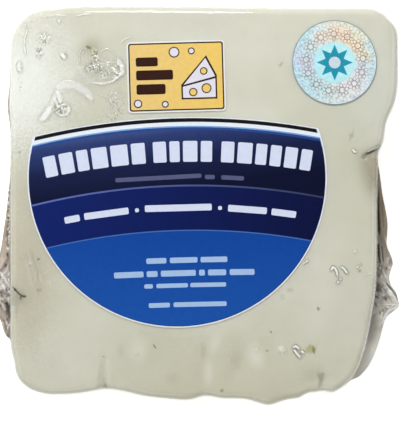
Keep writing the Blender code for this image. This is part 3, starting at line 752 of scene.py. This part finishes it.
# span: from and to along the side; gathered: place and how crumpled; bands: place and tone, the layered
# film's grey-brown with painted shade and painted light in it
# reach: place, half width, how far out; strokes: x and y in turn, width, height, amount, tone; the near-white
# strokes are painted highlights on ridges and the dark ones painted shadow in grooves and gaps
# glints: from, to, distance from the wall, its spread, length, count, for painted glints and painted shade
# nicks
tails["leftTail"] = {
    "side": -1, "span": (-38.0, 18.0), "folds": 4.5, "swing": 1.0, "seed": 3, "tip": (-54.0, -21.0),
    "gathered": ((-38, 0.6), (-30, 0.9), (-18, 1), (-12, 0.5), (-6, 0.35), (6, 0.2)),
    "bands": (
        (-36, (176, 162, 150)), (-28, (168, 156, 144)), (-24.5, (184, 177, 170)), (-17, (188, 180, 173)),
        (-13.5, (186, 172, 158)), (0, (192, 178, 164)), (12, (198, 188, 176)),
    ),
    "reach": ((4.5, 9.5, 1.6), (-6.7, 7.8, 1.9), (-15.4, 6.9, 2.3), (-26.8, 10.3, 4.15)),
    "glints": (
        (9, -12, 1.3, 0.5, 0.5, 60), (-16.5, -26, 2.6, 2.2, 1.1, 40), (-28, -35, 1.2, 0.6, 0.7, 14),
    ),
    "strokes": (
        ((-49.9, -2.7, -50, -5.3, -49.9, -8, -49.9, -11), 0.22, -0.2, 0.65, (128, 112, 98)),
        ((-50.1, -3.4, -50.2, -4), 0.2, 0.1, 0.9, (236, 230, 224)),
        ((-49.7, -5.6, -50, -6.4), 0.2, 0.1, 0.9, (232, 226, 220)),
        ((-50.4, -8.4, -50.2, -9.2), 0.2, 0.1, 0.8, (226, 218, 210)),
        ((-50.9, 0.5, -51.2, -4, -51.6, -9), 0.3, 0.1, 0.5, (204, 180, 168)),
        ((-49.9, -12.4, -49.8, -13.4), 0.22, -0.3, 0.95, (70, 56, 46)),
        ((-50.3, -15.3, -50.6, -16.2), 0.22, -0.3, 0.8, (84, 70, 58)),
        ((-51.4, -13.7, -50.9, -14.8), 0.2, 0.1, 0.7, (214, 200, 190)),
        ((-49.2, -14.8, -48.9, -17.4, -48.6, -20.5), 0.3, -0.5, 0.9, (84, 72, 60)),
        ((-51.7, -17.4, -50.7, -18.7, -49.4, -20.7, -48.3, -22.4), 0.3, 0.4, 0.95, (244, 242, 240)),
        ((-52.2, -18.6, -51, -19.8, -50, -21.4), 0.2, -0.3, 0.6, (140, 130, 122)),
        ((-50.9, -20.3, -50.4, -21.9), 0.38, 0.4, 0.95, (250, 250, 250)),
        ((-49.3, -22.4, -48.9, -23.2), 0.42, 0.4, 0.95, (250, 250, 248)),
        ((-51.7, -21.6, -50.9, -23.7, -49.9, -25), 0.24, -0.3, 0.6, (138, 128, 120)),
        ((-52, -23, -51, -24.6), 0.3, 0.3, 0.8, (226, 222, 218)),
        ((-49.6, -24.6, -48.4, -23.9, -47.6, -23.9), 0.22, 0.2, 0.7, (220, 214, 206)),
        ((-50, -25.5, -49.5, -27.4, -49.1, -29.5), 0.75, -0.6, 0.92, (72, 60, 50)),
        ((-51.4, -25, -50.7, -26.3, -50.3, -27.4), 0.24, 0.3, 0.9, (234, 228, 222)),
        ((-51.7, -27.1, -50.9, -28.4, -50.1, -30), 0.24, 0.3, 0.7, (206, 196, 188)),
        ((-50.9, -30, -50.3, -31.6, -49.6, -33.4), 0.26, -0.3, 0.75, (112, 96, 82)),
        ((-50.2, -30.2, -49.9, -31.2), 0.24, 0.3, 0.9, (240, 236, 232)),
        ((-49.4, -31.5, -49, -34.7), 0.24, -0.3, 0.7, (122, 106, 92)),
    ),
}
tails["leftSeam"] = {
    "side": -1, "span": (12.0, 39.0), "folds": 1.0, "swing": 0.0, "seed": 12, "tip": (-54.0, 25.0),
    "gathered": ((12, 0.1), (39, 0.1)),
    "bands": ((12, (176, 150, 138)), (39, (190, 168, 158))),
    "reach": ((27, 14, 1.85),),
    "glints": ((37, 14, 1.2, 0.3, 0.5, 40),),
    "strokes": (),
}
tails["rightTail"] = {
    "side": 1, "span": (-48.5, 14.0), "folds": 5.5, "swing": 0.9, "seed": 8, "tip": (54.5, -25.6),
    "gathered": ((-34, 0.12), (-29, 0.7), (-19, 0.9), (-14, 0.7), (-9, 0.45), (-6, 0.12)),
    "bands": (
        # painted shade darkens the strip beside the wall, and the lower web is painted near white against the
        # slab's shadow
        (-46, (254, 252, 242)), (-36, (248, 245, 235)), (-29, (206, 203, 195)), (-19, (178, 173, 166)),
        (-14, (164, 156, 146)), (-8, (166, 154, 140)), (0, (158, 144, 128)), (8, (168, 154, 138)),
    ),
    "reach": (
        (3.6, 11.6, 2.1), (-7.7, 7.7, 3), (-16.1, 3.9, 4), (-24.3, 4.6, 5), (-27.5, 1.8, 1.45),
        (-31, 7.9, 2.8), (-42, 11, 3.2),
    ),
    "glints": ((-10, -18, 1.2, 1, 0.8, 14), (-21, -28, 2.6, 2.2, 1.1, 26)),
    "strokes": (
        # painted shadow: the dark slit of the gap along the wall
        ((47, 5.2, 47.2, 1.5, 47.4, -2.4, 47.6, -5.3, 47.7, -7.4), 0.34, -0.6, 0.97, (46, 40, 30)),
        ((48.2, 1.5, 48.5, -2.2, 48.7, -5.9), 0.3, -0.2, 0.6, (124, 110, 94)),
        ((48.9, 2.5, 49.5, -1.7, 50, -4.8, 49.9, -6.1), 0.3, 0.2, 0.6, (200, 184, 172)),
        ((49, -8.5, 49.5, -10.8, 50, -12.7), 0.22, 0.2, 0.5, (196, 186, 174)),
        ((47.3, -10.1, 47.5, -12.7, 47.8, -15), 0.3, -0.5, 0.95, (64, 56, 46)),
        ((47.9, -10.3, 48.1, -12.9, 48.2, -14.8), 0.16, 0.1, 0.8, (214, 206, 194)),
        ((48.2, -10.6, 48.5, -12.7, 48.7, -14.8), 0.2, -0.3, 0.85, (92, 82, 72)),
        ((47.3, -15.6, 47.4, -18.6), 0.45, -0.2, 0.7, (132, 122, 110)),
        ((50.1, -13.7, 49.6, -15.3), 0.4, 0.3, 0.7, (206, 198, 190)),
        ((49.4, -16.1, 49.5, -16.7), 0.28, -0.3, 0.85, (98, 90, 82)),
        ((48.4, -16.6, 48.8, -18.2, 49.6, -19.6), 0.24, 0.3, 0.7, (216, 212, 206)),
        ((49.3, -20.2, 50.4, -21.6, 51.6, -23.3, 52.1, -24.5), 0.2, -0.3, 0.85, (84, 76, 70)),
        ((49.1, -20.9, 50.3, -22.4, 51.4, -24, 51.7, -25), 0.24, 0.4, 0.98, (252, 252, 252)),
        ((49.7, -22.3, 50.5, -23.6), 0.26, 0.4, 0.95, (250, 250, 250)),
        ((48.3, -20.6, 49.3, -23, 50.6, -25.2), 0.3, -0.3, 0.55, (158, 152, 146)),
        ((48.2, -21.6, 48.8, -23.6), 0.22, 0.3, 0.7, (228, 226, 222)),
        ((51.6, -25.5, 50, -26.8, 48.7, -28.9, 48, -31), 0.24, 0.4, 0.9, (242, 240, 238)),
        ((50.4, -26.2, 49.2, -27.4, 48.2, -29), 0.22, -0.3, 0.6, (156, 150, 146)),
        ((51.1, -26.7, 49.9, -27.9, 49.2, -29.1), 0.2, 0.3, 0.8, (236, 234, 230)),
        ((47.1, -20.5, 47.2, -23.7), 0.24, -0.3, 0.7, (120, 114, 104)),
    ),
}
tailFilm = filmMaterial("gatheredFilm", tails["material"])


def alongSide(rows, y):
    # a tone that changes along the side, as a linear colour
    places, tones = zip(*rows)
    return np.stack([np.interp(y, places, part) for part in zip(*(linear(*tone) for tone in tones))], axis=1)


def paintedNicks(tail):
    # painted glints and painted shade: short bright and dark nicks where the film is pressed together, beside
    # the pleats that are listed
    draw = np.random.RandomState(tail["seed"] + 7)
    for start, end, out, spread, length, count in tail["glints"]:
        for share in draw.uniform(0, 1, (count, 5)):
            y = start + share[0] * (end - start)
            x = float(wallAt(tail["side"], y)) + tail["side"] * (out + spread * (2 * share[1] - 1))
            lean, reach = tail["side"] * length * (share[2] - 0.2), length * (0.4 + 0.6 * share[3])
            height, tone = (0.12, (253, 252, 250)) if share[4] < 0.5 else (-0.12, (112, 98, 86))
            yield (x, y, x + lean, y - reach), 0.18 + 0.08 * share[1], height, 0.9, tone


def gatheredTail(name, tail):
    side, seed, (low, high), (tipX, tipY) = tail["side"], tail["seed"], tail["span"], tail["tip"]
    bm = bmesh.new()
    bmesh.ops.create_grid(bm, x_segments=tails["across"], y_segments=tails["along"], size=0.5)
    bmesh.ops.solidify(bm, geom=bm.faces[:], thickness=0.01)
    bmesh.ops.recalc_face_normals(bm, faces=bm.faces)
    mesh = meshFrom(bm, name)
    flat = readPoints(mesh)
    across, along, lift = flat[:, 0] + 0.5, flat[:, 1] + 0.5, np.sign(flat[:, 2] - flat[:, 2].mean())
    y = low + along * (high - low)
    reach = sum(out * np.exp(-((y - place) / half) ** 2) for place, half, out in tail["reach"])
    reach = reach * np.clip(np.minimum(y - low, high - y) / tails["endTaper"], 0.0, 1.0)
    reach = reach - tails["endDepth"] * np.exp(-reach)
    y = y + pack["centre"][1]
    x = wallAt(side, y) + side * (across * (tails["rootDepth"] + reach) - tails["rootDepth"])
    crumpled = np.interp(y, *zip(*tail["gathered"]))
    # pleats fan out from the point where the film is drawn together
    bearing = np.arctan2(y - tipY, np.abs(tipX) - np.abs(x))
    far = np.hypot(y - tipY, np.abs(tipX) - np.abs(x))
    pleats = softNoise(bearing * 4.0, far * 0.2, 1.0, seed)
    pleats = pleats + 0.5 * softNoise(bearing * 9.0, far * 0.35, 1.0, seed + 1)
    crinkle = softNoise(x, y * 0.7, 1.5, seed + 2)
    smoothWave = softNoise(x * 0.5, y * 0.25, 1.4, seed + 4)
    phase = 2 * math.pi * along
    fold = np.sin(tail["folds"] * phase + 1.4 * np.sin(1.3 * phase))
    fold = fold + 0.6 * np.sin(2.1 * phase + 4.0 * across)
    relief = crumpled * (0.7 * (0.5 - np.abs(pleats)) + 0.35 * (0.4 - np.abs(crinkle)))
    relief = relief + (1 - crumpled) * 0.2 * smoothWave
    z = tails["level"] + tails["drift"] * np.sin(0.9 * phase + 0.6)
    z = z + tail["swing"] * across ** 2 * fold * crumpled
    z = z + across * relief + across ** 2 + lift * tails["thickness"] / 2
    edgeNoise = softNoise(y, 4 * across, 1.1, seed + 5)
    # painted shade and light: the tone is darker in the pleats' hollows and lighter on their crests, and
    # lighter toward the outer edge, away from the slab's shade
    reliefShade = smoothStep(0.2, 0.8, np.clip(0.5 + 0.8 * relief + 0.2 * crinkle * crumpled, 0, 1))
    tintAndPaintedLight = np.full((len(x), 4), 0.94)
    colour = alongSide(tail["bands"], y) * (0.66 + 0.6 * reliefShade)[:, None]
    tintAndPaintedLight[:, :3] = np.clip(colour * (0.93 + 0.14 * smoothStep(0.6, 1.0, across))[:, None], 0.0, 1.0)
    fine = softNoise(x, y, 0.45, seed + 6)
    for line, width, height, amount, tone in (*paintedNicks(tail), *tail["strokes"]):
        distance, part = lineDistance(x, y, line)
        stroke = np.exp(-((distance + 0.15 * width * fine) / (width * tapered(part, 5, 0.4))) ** 2)
        z = z + height * stroke
        blendTint(tintAndPaintedLight, amount * stroke, tone)
    x = x + side * 0.15 * across * crumpled * edgeNoise
    writePoints(mesh, np.stack([x, y, z], axis=1) * mm)
    storeLook(mesh, tintAndPaintedLight, np.ones(len(x)))
    bm = bmesh.new()
    bm.from_mesh(mesh)
    bmesh.ops.recalc_face_normals(bm, faces=bm.faces)
    bm.to_mesh(mesh)
    bm.free()
    return pieceFrom(mesh, [tailFilm])


for tailName in ("leftTail", "leftSeam", "rightTail"):
    gatheredTail(tailName, tails[tailName])


# Printed layers: a flat outline, cut into cells, given a thickness and laid on the pack's top
paper = {"stock": 0.2, "ink": 0.02, "line": 0.01, "cell": 2.5, "sharpAngle": 40}


def thicken(target, layer, lift, thickness, slotIndex):
    # gives a flat layer its thickness on the pack's top, and joins it to target
    upper = bmesh.ops.extrude_face_region(layer, geom=layer.faces[:])["geom"]
    raised = {v for v in upper if isinstance(v, bmesh.types.BMVert)}
    heights = topHeight([v.co.x for v in layer.verts], [v.co.y for v in layer.verts])
    for vert, height in zip(layer.verts, heights):
        vert.co.z = height + lift - (0.0 if vert in raised else thickness)
    for face in layer.faces:
        face.material_index = slotIndex
    bmesh.ops.recalc_face_normals(layer, faces=layer.faces[:])
    bmesh.ops.scale(layer, vec=(mm, mm, mm), verts=layer.verts)
    part = meshFrom(layer, "layer")
    target.from_mesh(part)
    bpy.data.meshes.remove(part)


def layOn(target, settings, points, level, slotIndex, thickness=paper["ink"], pitch=paper["cell"]):
    layer = bmesh.new()
    points = turnedPoints(points, settings["centre"], settings["turn"])
    rim = bmesh.ops.create_circle(layer, cap_ends=True, segments=len(points), radius=1.0)["verts"]
    for vert, (x, y) in zip(rim, points):
        vert.co = (x, y, 0.0)
    bmesh.ops.triangulate(layer, faces=layer.faces[:])
    for axis in (0, 1):
        values = [point[axis] for point in points]
        place = math.floor(min(values) / pitch) * pitch + pitch
        while place < max(values):
            where, normal = [0.0, 0.0, 0.0], [0.0, 0.0, 0.0]
            where[axis], normal[axis] = place, 1.0
            geometry = layer.verts[:] + layer.edges[:] + layer.faces[:]
            bmesh.ops.bisect_plane(layer, geom=geometry, plane_co=where, plane_no=normal)
            place += pitch
    bmesh.ops.recalc_face_normals(layer, faces=layer.faces[:])
    if layer.faces[:] and sum(face.normal.z for face in layer.faces) < 0:
        bmesh.ops.reverse_faces(layer, faces=layer.faces[:])
    thicken(target, layer, settings["base"] + level * settings["step"], thickness, slotIndex)


def turnedPoints(points, centre, turn):
    cos, sin = math.cos(turn), math.sin(turn)
    return [(centre[0] + x * cos - y * sin, centre[1] + x * sin + y * cos) for x, y in points]


def polar(centre, radius, angle):
    return centre[0] + radius * math.cos(angle), centre[1] + radius * math.sin(angle)


def circlePoints(radius, steps, centre=(0.0, 0.0)):
    return [polar(centre, radius, 2 * math.pi * i / steps) for i in range(steps)]


def barPoints(width, height, radius, centre=(0.0, 0.0), turn=0.0, steps=3):
    points = []
    for corner, (signX, signY) in enumerate(((1, 1), (-1, 1), (-1, -1), (1, -1))):
        middle = (signX * (width / 2 - radius), signY * (height / 2 - radius))
        angles = [0.5 * math.pi * (corner + step / steps) for step in range(steps + 1)]
        points += [polar(middle, radius, angle) for angle in angles]
    return turnedPoints(points, centre, turn)


mainLabel = {
    "centre": (-5.3, 7.0),
    "turn": math.radians(1.6),
    "base": 0.08,
    "step": 0.014,
    "radius": 38.1,
    "arcRadius": 175.0,
    "stockTop": 15.4,
    "edge": (12.6, 0.35),
    # upper and lower arc, inset from the round edge, radius of each arc; the inks follow in turn
    "bands": (
        (15.15, 14.2, 0.55, 175, 175), (13.2, 11, 0.35, 175, 175), (12.85, 10, 0.45, 175, 175),
        (12.2, -2.1, 0.5, 175, 175), (-1.75, -2.45, 0.5, 172, 172), (-2.2, -14, 0.5, 172, 160),
        (-13.2, -15, 0.5, 160, 160), (-13.5, None, 0.5, 160, 160),
    ),
    # left end, right end, block widths
    "title": ((-33.7, -7.9, (2.6, 2.9, 2.4, 3.3, 3.6, 2.9)), (-5.9, 9.1, (3.0, 2.3, 3.3, 2.6)),
              (11.4, 34.3, (2.8, 3.2, 2.4, 2.4, 2.7, 2.4))),
    "titleGap": 0.85,
    # left and right end of each bar, middle height and radius of their arc, bar height, ink
    "lines": (
        (((-15.7, 6.2), (7.1, 9.6), (11.2, 17.0)), 0.2, 176.0, 1.1, 10),
        (((-28.9, -25.0), (-23.9, -12.5), (-8.4, 8.6), (12.7, 22.6), (23.7, 30.0)), -7.6, 172.0, 1.7, 9),
        (((-10.9, -9.9), (10.2, 11.2)), -7.6, 172.0, 1.0, 9),
        (((-8.4, -3.3), (-2.4, 4.6), (5.4, 12.2)), -20.9, 900.0, 1.4, 11),
        (((-16.7, -9.2), (-8.4, -5.6), (-4.8, 4.1), (4.9, 6.4), (7.2, 11.8), (12.7, 19.0)),
         -24.2, 900.0, 1.5, 11),
        (((-9.1, -6.9), (-6.0, 2.0), (2.6, 11.7)), -27.3, 900.0, 1.1, 11),
        (((-8.1, -2.7), (-1.8, 11.7)), -32.2, 900.0, 1.2, 11),
    ),
    # name, grain, place and tone, direction and span where the tone changes
    "inks": (
        ("labelStock", 0.03, ((0, (232, 238, 246)),)), ("ruleInk", 0.06, ((0, (20, 20, 20)),)),
        ("paleInk", 0.06, ((0, (120, 165, 215)),)), ("blueInk", 0.06, ((0, (42, 72, 140)),)),
        # navy ink lighter toward the top: a printed gradient with painted sheen on it
        ("navyInk", 0.12, ((0, (10, 16, 46)), (0.4, (22, 32, 72)), (0.72, (44, 60, 114)),
                           (1, (88, 106, 160))), (-0.13, 1.0), (5.0, 24.5)),
        # thin line and dark blue inks lighter to the left, partly printed and partly painted sheen
        ("thinLineInk", 0.06, ((0, (92, 112, 178)), (1, (56, 62, 92))), (1.0, 0.0), (-40.0, 30.0)),
        ("darkBlueInk", 0.12, ((0, (14, 34, 106)), (1, (10, 18, 60))), (1.0, 0.0), (-42.0, 32.0)),
        ("blueEdgeInk", 0.06, ((0, (70, 108, 180)),)),
        ("brightBlueInk", 0.08, ((0, (28, 85, 172)), (1, (16, 70, 156))), (0.0, 1.0), (-31.0, -6.0)),
        ("titleInk", 0.05, ((0, (214, 222, 242)),)), ("faintInk", 0.1, ((0, (88, 92, 128)),)),
        ("softBlueInk", 0.05, ((0, (166, 194, 230)),)), ("edgeInk", 0.05, ((0, (18, 22, 48)),)),
    ),
}


def arcHeight(apex, arcRadius, x):
    return apex - arcRadius + math.sqrt(arcRadius ** 2 - x ** 2)


def arcEnd(apex, arcRadius, circleRadius):
    # how far out an arc meets the label's round edge
    low, high = 0.0, circleRadius
    for _ in range(40):
        middle = (low + high) / 2
        inside = middle ** 2 + arcHeight(apex, arcRadius, middle) ** 2 < circleRadius ** 2
        low, high = (middle, high) if inside else (low, middle)
    return low


def bandPoints(upper, lower, circleRadius, upperArc, lowerArc, steps=36):
    # a band of the round label between two arcs, or below one arc
    right = arcEnd(upper, upperArc, circleRadius)
    points = [(x, arcHeight(upper, upperArc, x)) for x in np.linspace(-right, right, steps)]
    start = math.atan2(arcHeight(upper, upperArc, right), right)
    between = lambda first, last, count: np.linspace(first, last, count)[1:-1]
    rim = lambda first, last, count: [polar((0, 0), circleRadius, a) for a in between(first, last, count)]
    if lower is None:
        return points + rim(start, -math.pi - start, 3 * steps)
    bottom = arcEnd(lower, lowerArc, circleRadius)
    end = math.atan2(arcHeight(lower, lowerArc, bottom), bottom)
    lowerEdge = [(x, arcHeight(lower, lowerArc, x)) for x in np.linspace(bottom, -bottom, steps)]
    return points + rim(start, end, 12) + lowerEdge + [(-x, y) for x, y in rim(end, start, 12)]


def wordBars(groups, apex, arcRadius, height):
    # plain bars in the place of words, along an arc
    for left, right in groups:
        middle = (left + right) / 2
        place = (middle, arcHeight(apex, arcRadius, middle))
        yield barPoints(right - left, height, min(0.35, height / 2.2), place, -math.asin(middle / arcRadius))


def unevenBlocks(left, right, widths):
    # blocks of different widths that fill the span with equal gaps
    share = (right - left - mainLabel["titleGap"] * (len(widths) - 1)) / sum(widths)
    for blockWidth in widths:
        yield left, left + share * blockWidth
        left += share * blockWidth + mainLabel["titleGap"]


labelMesh = bmesh.new()
radius, arcRadius, (edgeTop, edgeInset) = mainLabel["radius"], mainLabel["arcRadius"], mainLabel["edge"]
stock = bandPoints(mainLabel["stockTop"], None, radius, arcRadius, arcRadius)
layOn(labelMesh, mainLabel, stock, 0, 0, paper["stock"])
layOn(labelMesh, mainLabel, bandPoints(edgeTop, None, radius - edgeInset, arcRadius, arcRadius), 0.5, 12)
for level, (upper, lower, inset, *arcs) in enumerate(mainLabel["bands"], 1):
    layOn(labelMesh, mainLabel, bandPoints(upper, lower, radius - inset, *arcs), level, level)
title = [block for word in mainLabel["title"] for block in unevenBlocks(*word)]
for groups, apex, lineRadius, height, slotIndex in ((title, 6.7, 180.0, 5.3, 9), *mainLabel["lines"]):
    for bar in wordBars(groups, apex, lineRadius, height):
        layOn(labelMesh, mainLabel, bar, len(mainLabel["bands"]) + 1, slotIndex, pitch=6.0)
mainPiece = pieceFrom(meshFrom(labelMesh, "mainLabel"), [printMaterial(*ink) for ink in mainLabel["inks"]],
                      paper["sharpAngle"])
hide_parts("main_label")

# Small label: frame, yellow field, bars, a wedge of cheese and round holes
upperLabel = {
    "centre": (-5.5, 32.8),
    "turn": math.radians(1.6),
    "base": 0.08,
    "step": 0.02,
    "size": (24.9, 18.1),
    # inset, rounding, thickness of the stock, the frame and the field, one upon the other
    "fields": ((0.0, 0.9, paper["stock"]), (0.8, 0.6, paper["ink"]), (1.5, 0.4, paper["ink"])),
    # level, ink, points
    "wedge": ((3, 1, ((1.2, -5.9), (10.3, -5.9), (10.3, 0.1), (7.7, 5.2), (1.2, -2.2))),
              (4, 4, ((1.6, -5.5), (9.9, -5.5), (9.9, -0.7), (1.6, -2.7))),
              (4, 4, ((1.8, -2.2), (9.9, -0.2), (7.5, 4.5)))),
    # x, y, radius
    "eyes": ((4.2, -4.1, 0.8), (7.6, -3.2, 1.0), (7.0, 1.2, 0.7)),
    "holes": ((-9.9, -6.7, 0.8), (-0.4, 6.2, 1.1), (4.0, 6.4, 0.6), (-3.0, -7.0, 0.6)),
    "holeLine": 0.28,
    # x, y, width, height
    "bars": ((-7.4, 3.9, 5.6, 2.3), (-5.5, 0.5, 9.4, 2.5), (-6.5, -3.1, 7.4, 2.6)),
    "inks": (
        ("upperStock", 0.03, ((0, (236, 234, 230)),)), ("upperFrameInk", 0.06, ((0, (44, 34, 26)),)),
        ("upperYellowInk", 0.07, ((0, (232, 200, 128)), (1, (240, 202, 104))), (1.0, 0.0), (-18.0, 7.0)),
        ("upperBrownInk", 0.06, ((0, (52, 26, 18)),)), ("upperPaleInk", 0.04, ((0, (226, 222, 232)),)),
    ),
}
upperMesh = bmesh.new()
width, height = upperLabel["size"]
for level, (inset, rounding, thickness) in enumerate(upperLabel["fields"]):
    field = barPoints(width - inset, height - inset, rounding)
    layOn(upperMesh, upperLabel, field, level, level, thickness)
for level, slotIndex, shape in upperLabel["wedge"]:
    layOn(upperMesh, upperLabel, shape, level, slotIndex)
for slotIndex, rounds in ((2, upperLabel["eyes"]), (4, upperLabel["holes"])):
    for x, y, radius in rounds:
        layOn(upperMesh, upperLabel, circlePoints(radius + upperLabel["holeLine"], 20, (x, y)), 5, 1)
        layOn(upperMesh, upperLabel, circlePoints(radius, 20, (x, y)), 6, slotIndex)
for x, y, barWidth, barHeight in upperLabel["bars"]:
    layOn(upperMesh, upperLabel, barPoints(barWidth, barHeight, 0.5, (x, y)), 3, 3)
upperPiece = pieceFrom(meshFrom(upperMesh, "upperLabel"), [printMaterial(*ink) for ink in upperLabel["inks"]],
                       paper["sharpAngle"])
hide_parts("upper_label")

# Round foil seal
seal = {
    "centre": (34.8, 36.4),
    "turn": 0.0,
    "base": 0.08,
    "step": 0.014,
    "radius": 10.8,
    "rim": 0.22,
    "ringLine": 0.12,
    # count, radius of their ring, own radius
    "scallops": (34, 9.75, 0.62),
    "flowers": (13, 7.3, 0.85),
    "petals": (8, 1.2, 0.62),
    "petalSquash": 0.75,
    "discRadius": 5.2,
    "star": (4.6, 2.5, 8),
    "heart": 1.5,
    "glow": 90.0,
    "sparkle": 1300.0,
    # share of a turn from the left, anticlockwise, and the foil's tone there
    "tones": (
        (0.0, (222, 232, 250)), (0.12, (206, 244, 250)), (0.25, (236, 246, 242)), (0.38, (246, 246, 248)),
        (0.5, (222, 244, 250)), (0.6, (250, 248, 222)), (0.7, (254, 238, 212)), (0.8, (236, 246, 244)),
        (0.9, (210, 246, 250)), (1.0, (222, 232, 250)),
    ),
    "inks": (
        ("sealRimInk", 0.06, ((0, (138, 156, 164)),)),
        ("rosetteInk", 0.3, ((0, (168, 146, 146)), (1, (204, 150, 126))), (0.0, 1.0), (26.0, 47.0)),
        ("sealDiscInk", 0.1, ((0, (190, 240, 246)),)), ("sealStarInk", 0.1, ((0, (36, 150, 174)),)),
        ("sealHeartInk", 0.1, ((0, (206, 222, 230)),)), ("scallopInk", 0.3, ((0, (176, 208, 216)),)),
    ),
}


def foilMaterial(settings):
    material, nodes = newMaterial("sealFoil")
    position = addNode(nodes, "TexCoord", {}, "Object")
    shift = (-settings["centre"][0] * mm, -settings["centre"][1] * mm, 0.0)
    centre = addNode(nodes, "Mapping", {"Vector": position, "Location": shift})
    turn = addNode(nodes, "TexGradient", {"Vector": centre}, "Fac", gradient_type="RADIAL")
    wave = addNoise(nodes, centre, settings["glow"], 2.0, distortion=1.0)
    spread = calculate(nodes, "MULTIPLY_ADD", wave, 0.5, -0.25)
    turned = calculate(nodes, "FRACT", calculate(nodes, "ADD", turn, spread))
    foil = colourRamp(nodes, turned, [(share, linear(*tone)) for share, tone in settings["tones"]])
    fine = addNoise(nodes, centre, settings["sparkle"], 3.0)
    glint = colourRamp(nodes, fine, ((0.36, (0.68, 0.72, 0.76)), (0.50, (1.0, 1.0, 1.0))))
    shader = addNode(nodes, "BsdfPrincipled", {
        "Base Color": mixColours(nodes, foil, glint), "Normal": addBump(nodes, fine, 0.3, 0.0001),
        "Roughness": 0.34, "Metallic": 0.15, "Coat Weight": 0.3})
    addNode(nodes, "OutputMaterial", {"Surface": shader})
    return material


def layRing(target, centre, radius, level, slotIndex, steps, squash=1.0, turn=0.0):
    # a thin printed ring: the border of a disc that is inset, draped on the pack
    ring = bmesh.new()
    bmesh.ops.create_circle(ring, cap_ends=True, segments=steps, radius=radius)
    inset = bmesh.ops.inset_region(ring, faces=ring.faces[:], thickness=seal["ringLine"], use_boundary=True)
    bmesh.ops.delete(ring, geom=[face for face in ring.faces if face not in inset["faces"]], context="FACES")
    cos, sin = math.cos(turn), math.sin(turn)
    for vert in ring.verts:
        x, y = vert.co.x, vert.co.y * squash
        vert.co = (centre[0] + x * cos - y * sin, centre[1] + x * sin + y * cos, 0.0)
    thicken(target, ring, seal["base"] + level * seal["step"], paper["line"], slotIndex)


sealMesh = bmesh.new()
layOn(sealMesh, seal, circlePoints(seal["radius"], 72), 0, 1, paper["stock"])
layOn(sealMesh, seal, circlePoints(seal["radius"] - seal["rim"], 72), 1, 0)
scallops, ringRadius, ownRadius = seal["scallops"]
for scallop in range(scallops):
    place = polar(seal["centre"], ringRadius, 2 * math.pi * scallop / scallops)
    layRing(sealMesh, place, ownRadius, 2, 6, 12)
(flowers, ringRadius, ownRadius), (petals, petalRing, petalRadius) = seal["flowers"], seal["petals"]
for flower in range(flowers):
    bearing = 2 * math.pi * (flower + 0.3) / flowers
    middle = polar(seal["centre"], ringRadius, bearing)
    layRing(sealMesh, middle, ownRadius, 3, 2, 20)
    for petal in range(petals):
        angle = bearing + 2 * math.pi * petal / petals
        place, level = polar(middle, petalRing, angle), 4 + 0.1 * petal
        layRing(sealMesh, place, petalRadius, level, 2, 14, seal["petalSquash"], angle)
*starRadii, points = seal["star"]
star = [polar((0, 0), starRadii[point % 2], math.pi * point / points + math.pi / 2)
        for point in range(2 * points)]
layOn(sealMesh, seal, circlePoints(seal["discRadius"], 48), 6, 3)
layOn(sealMesh, seal, star, 7, 4)
layOn(sealMesh, seal, circlePoints(seal["heart"], 24), 8, 5)
sealInks = [foilMaterial(seal), *(printMaterial(*ink) for ink in seal["inks"])]
sealPiece = pieceFrom(meshFrom(sealMesh, "roundSeal"), sealInks, paper["sharpAngle"])
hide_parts("round_seal")

# Floor and light
floorMesh = bmesh.new()
bmesh.ops.create_grid(floorMesh, x_segments=2, y_segments=2, size=3.0)
floorMaterial, floorNodes = newMaterial("floor")
floorShader = addNode(floorNodes, "BsdfPrincipled", {
    "Base Color": (0.93, 0.93, 0.93, 1.0), "Roughness": 0.9, "Emission Color": (1.0, 1.0, 1.0, 1.0),
    "Emission Strength": 0.62})
addNode(floorNodes, "OutputMaterial", {"Surface": floorShader})
floor = bpy.data.objects.new("floor", meshFrom(floorMesh, "floor"))
floor.data.materials.append(floorMaterial)
scene.collection.objects.link(floor)
floor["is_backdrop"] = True

# place, size, power, colour of each lamp, and whether it shows in shiny surfaces; all aim at the pack
lights = {
    "overhead": ((-0.25, 0.30, 0.85), 0.5, 3.7, (0.985, 0.99, 1.0), False),
    "key": ((-0.02, 0.28, 0.32), 0.12, 0.62, (0.97, 0.985, 1.0), True),
    "leftPanel": ((-0.9, -0.05, 0.65), 0.9, 1.9, (0.98, 0.99, 1.0), True),
    "backPanel": ((0.1, 0.95, 0.5), 0.6, 0.8, (0.98, 0.99, 1.0), True),
    "rightPanel": ((0.9, 0.05, 0.65), 0.6, 1.8, (1.0, 0.985, 0.96), True),
    "frontPanel": ((-0.1, -0.9, 0.65), 0.6, 1.8, (1.0, 0.985, 0.96), True),
}
sky = {"colour": (0.97, 0.98, 1.0), "strength": 0.10}
for lampName, (lampPlace, lampSize, lampPower, lampColour, mirrored) in lights.items():
    lamp = bpy.data.lights.new(lampName, "AREA")
    lamp.shape = "DISK"
    lamp.size = lampSize
    lamp.energy = lampPower
    lamp.color = lampColour
    lampObject = bpy.data.objects.new(lampName, lamp)
    lampObject.location = lampPlace
    lampObject.visible_glossy = mirrored
    lampObject.rotation_euler = (-Vector(lampPlace)).to_track_quat("-Z", "Y").to_euler()
    scene.collection.objects.link(lampObject)
world = bpy.data.worlds.new("studio")
world.use_nodes = True
background = world.node_tree.nodes["Background"]
background.inputs["Color"].default_value = (*sky["colour"], 1.0)
background.inputs["Strength"].default_value = sky["strength"]
scene.world = world
scene.view_settings.view_transform = "Standard"
print("floor and light ready")

{"cad": [list(corner) for corner in cadBox], "visual": [list(corner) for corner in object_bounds()]}
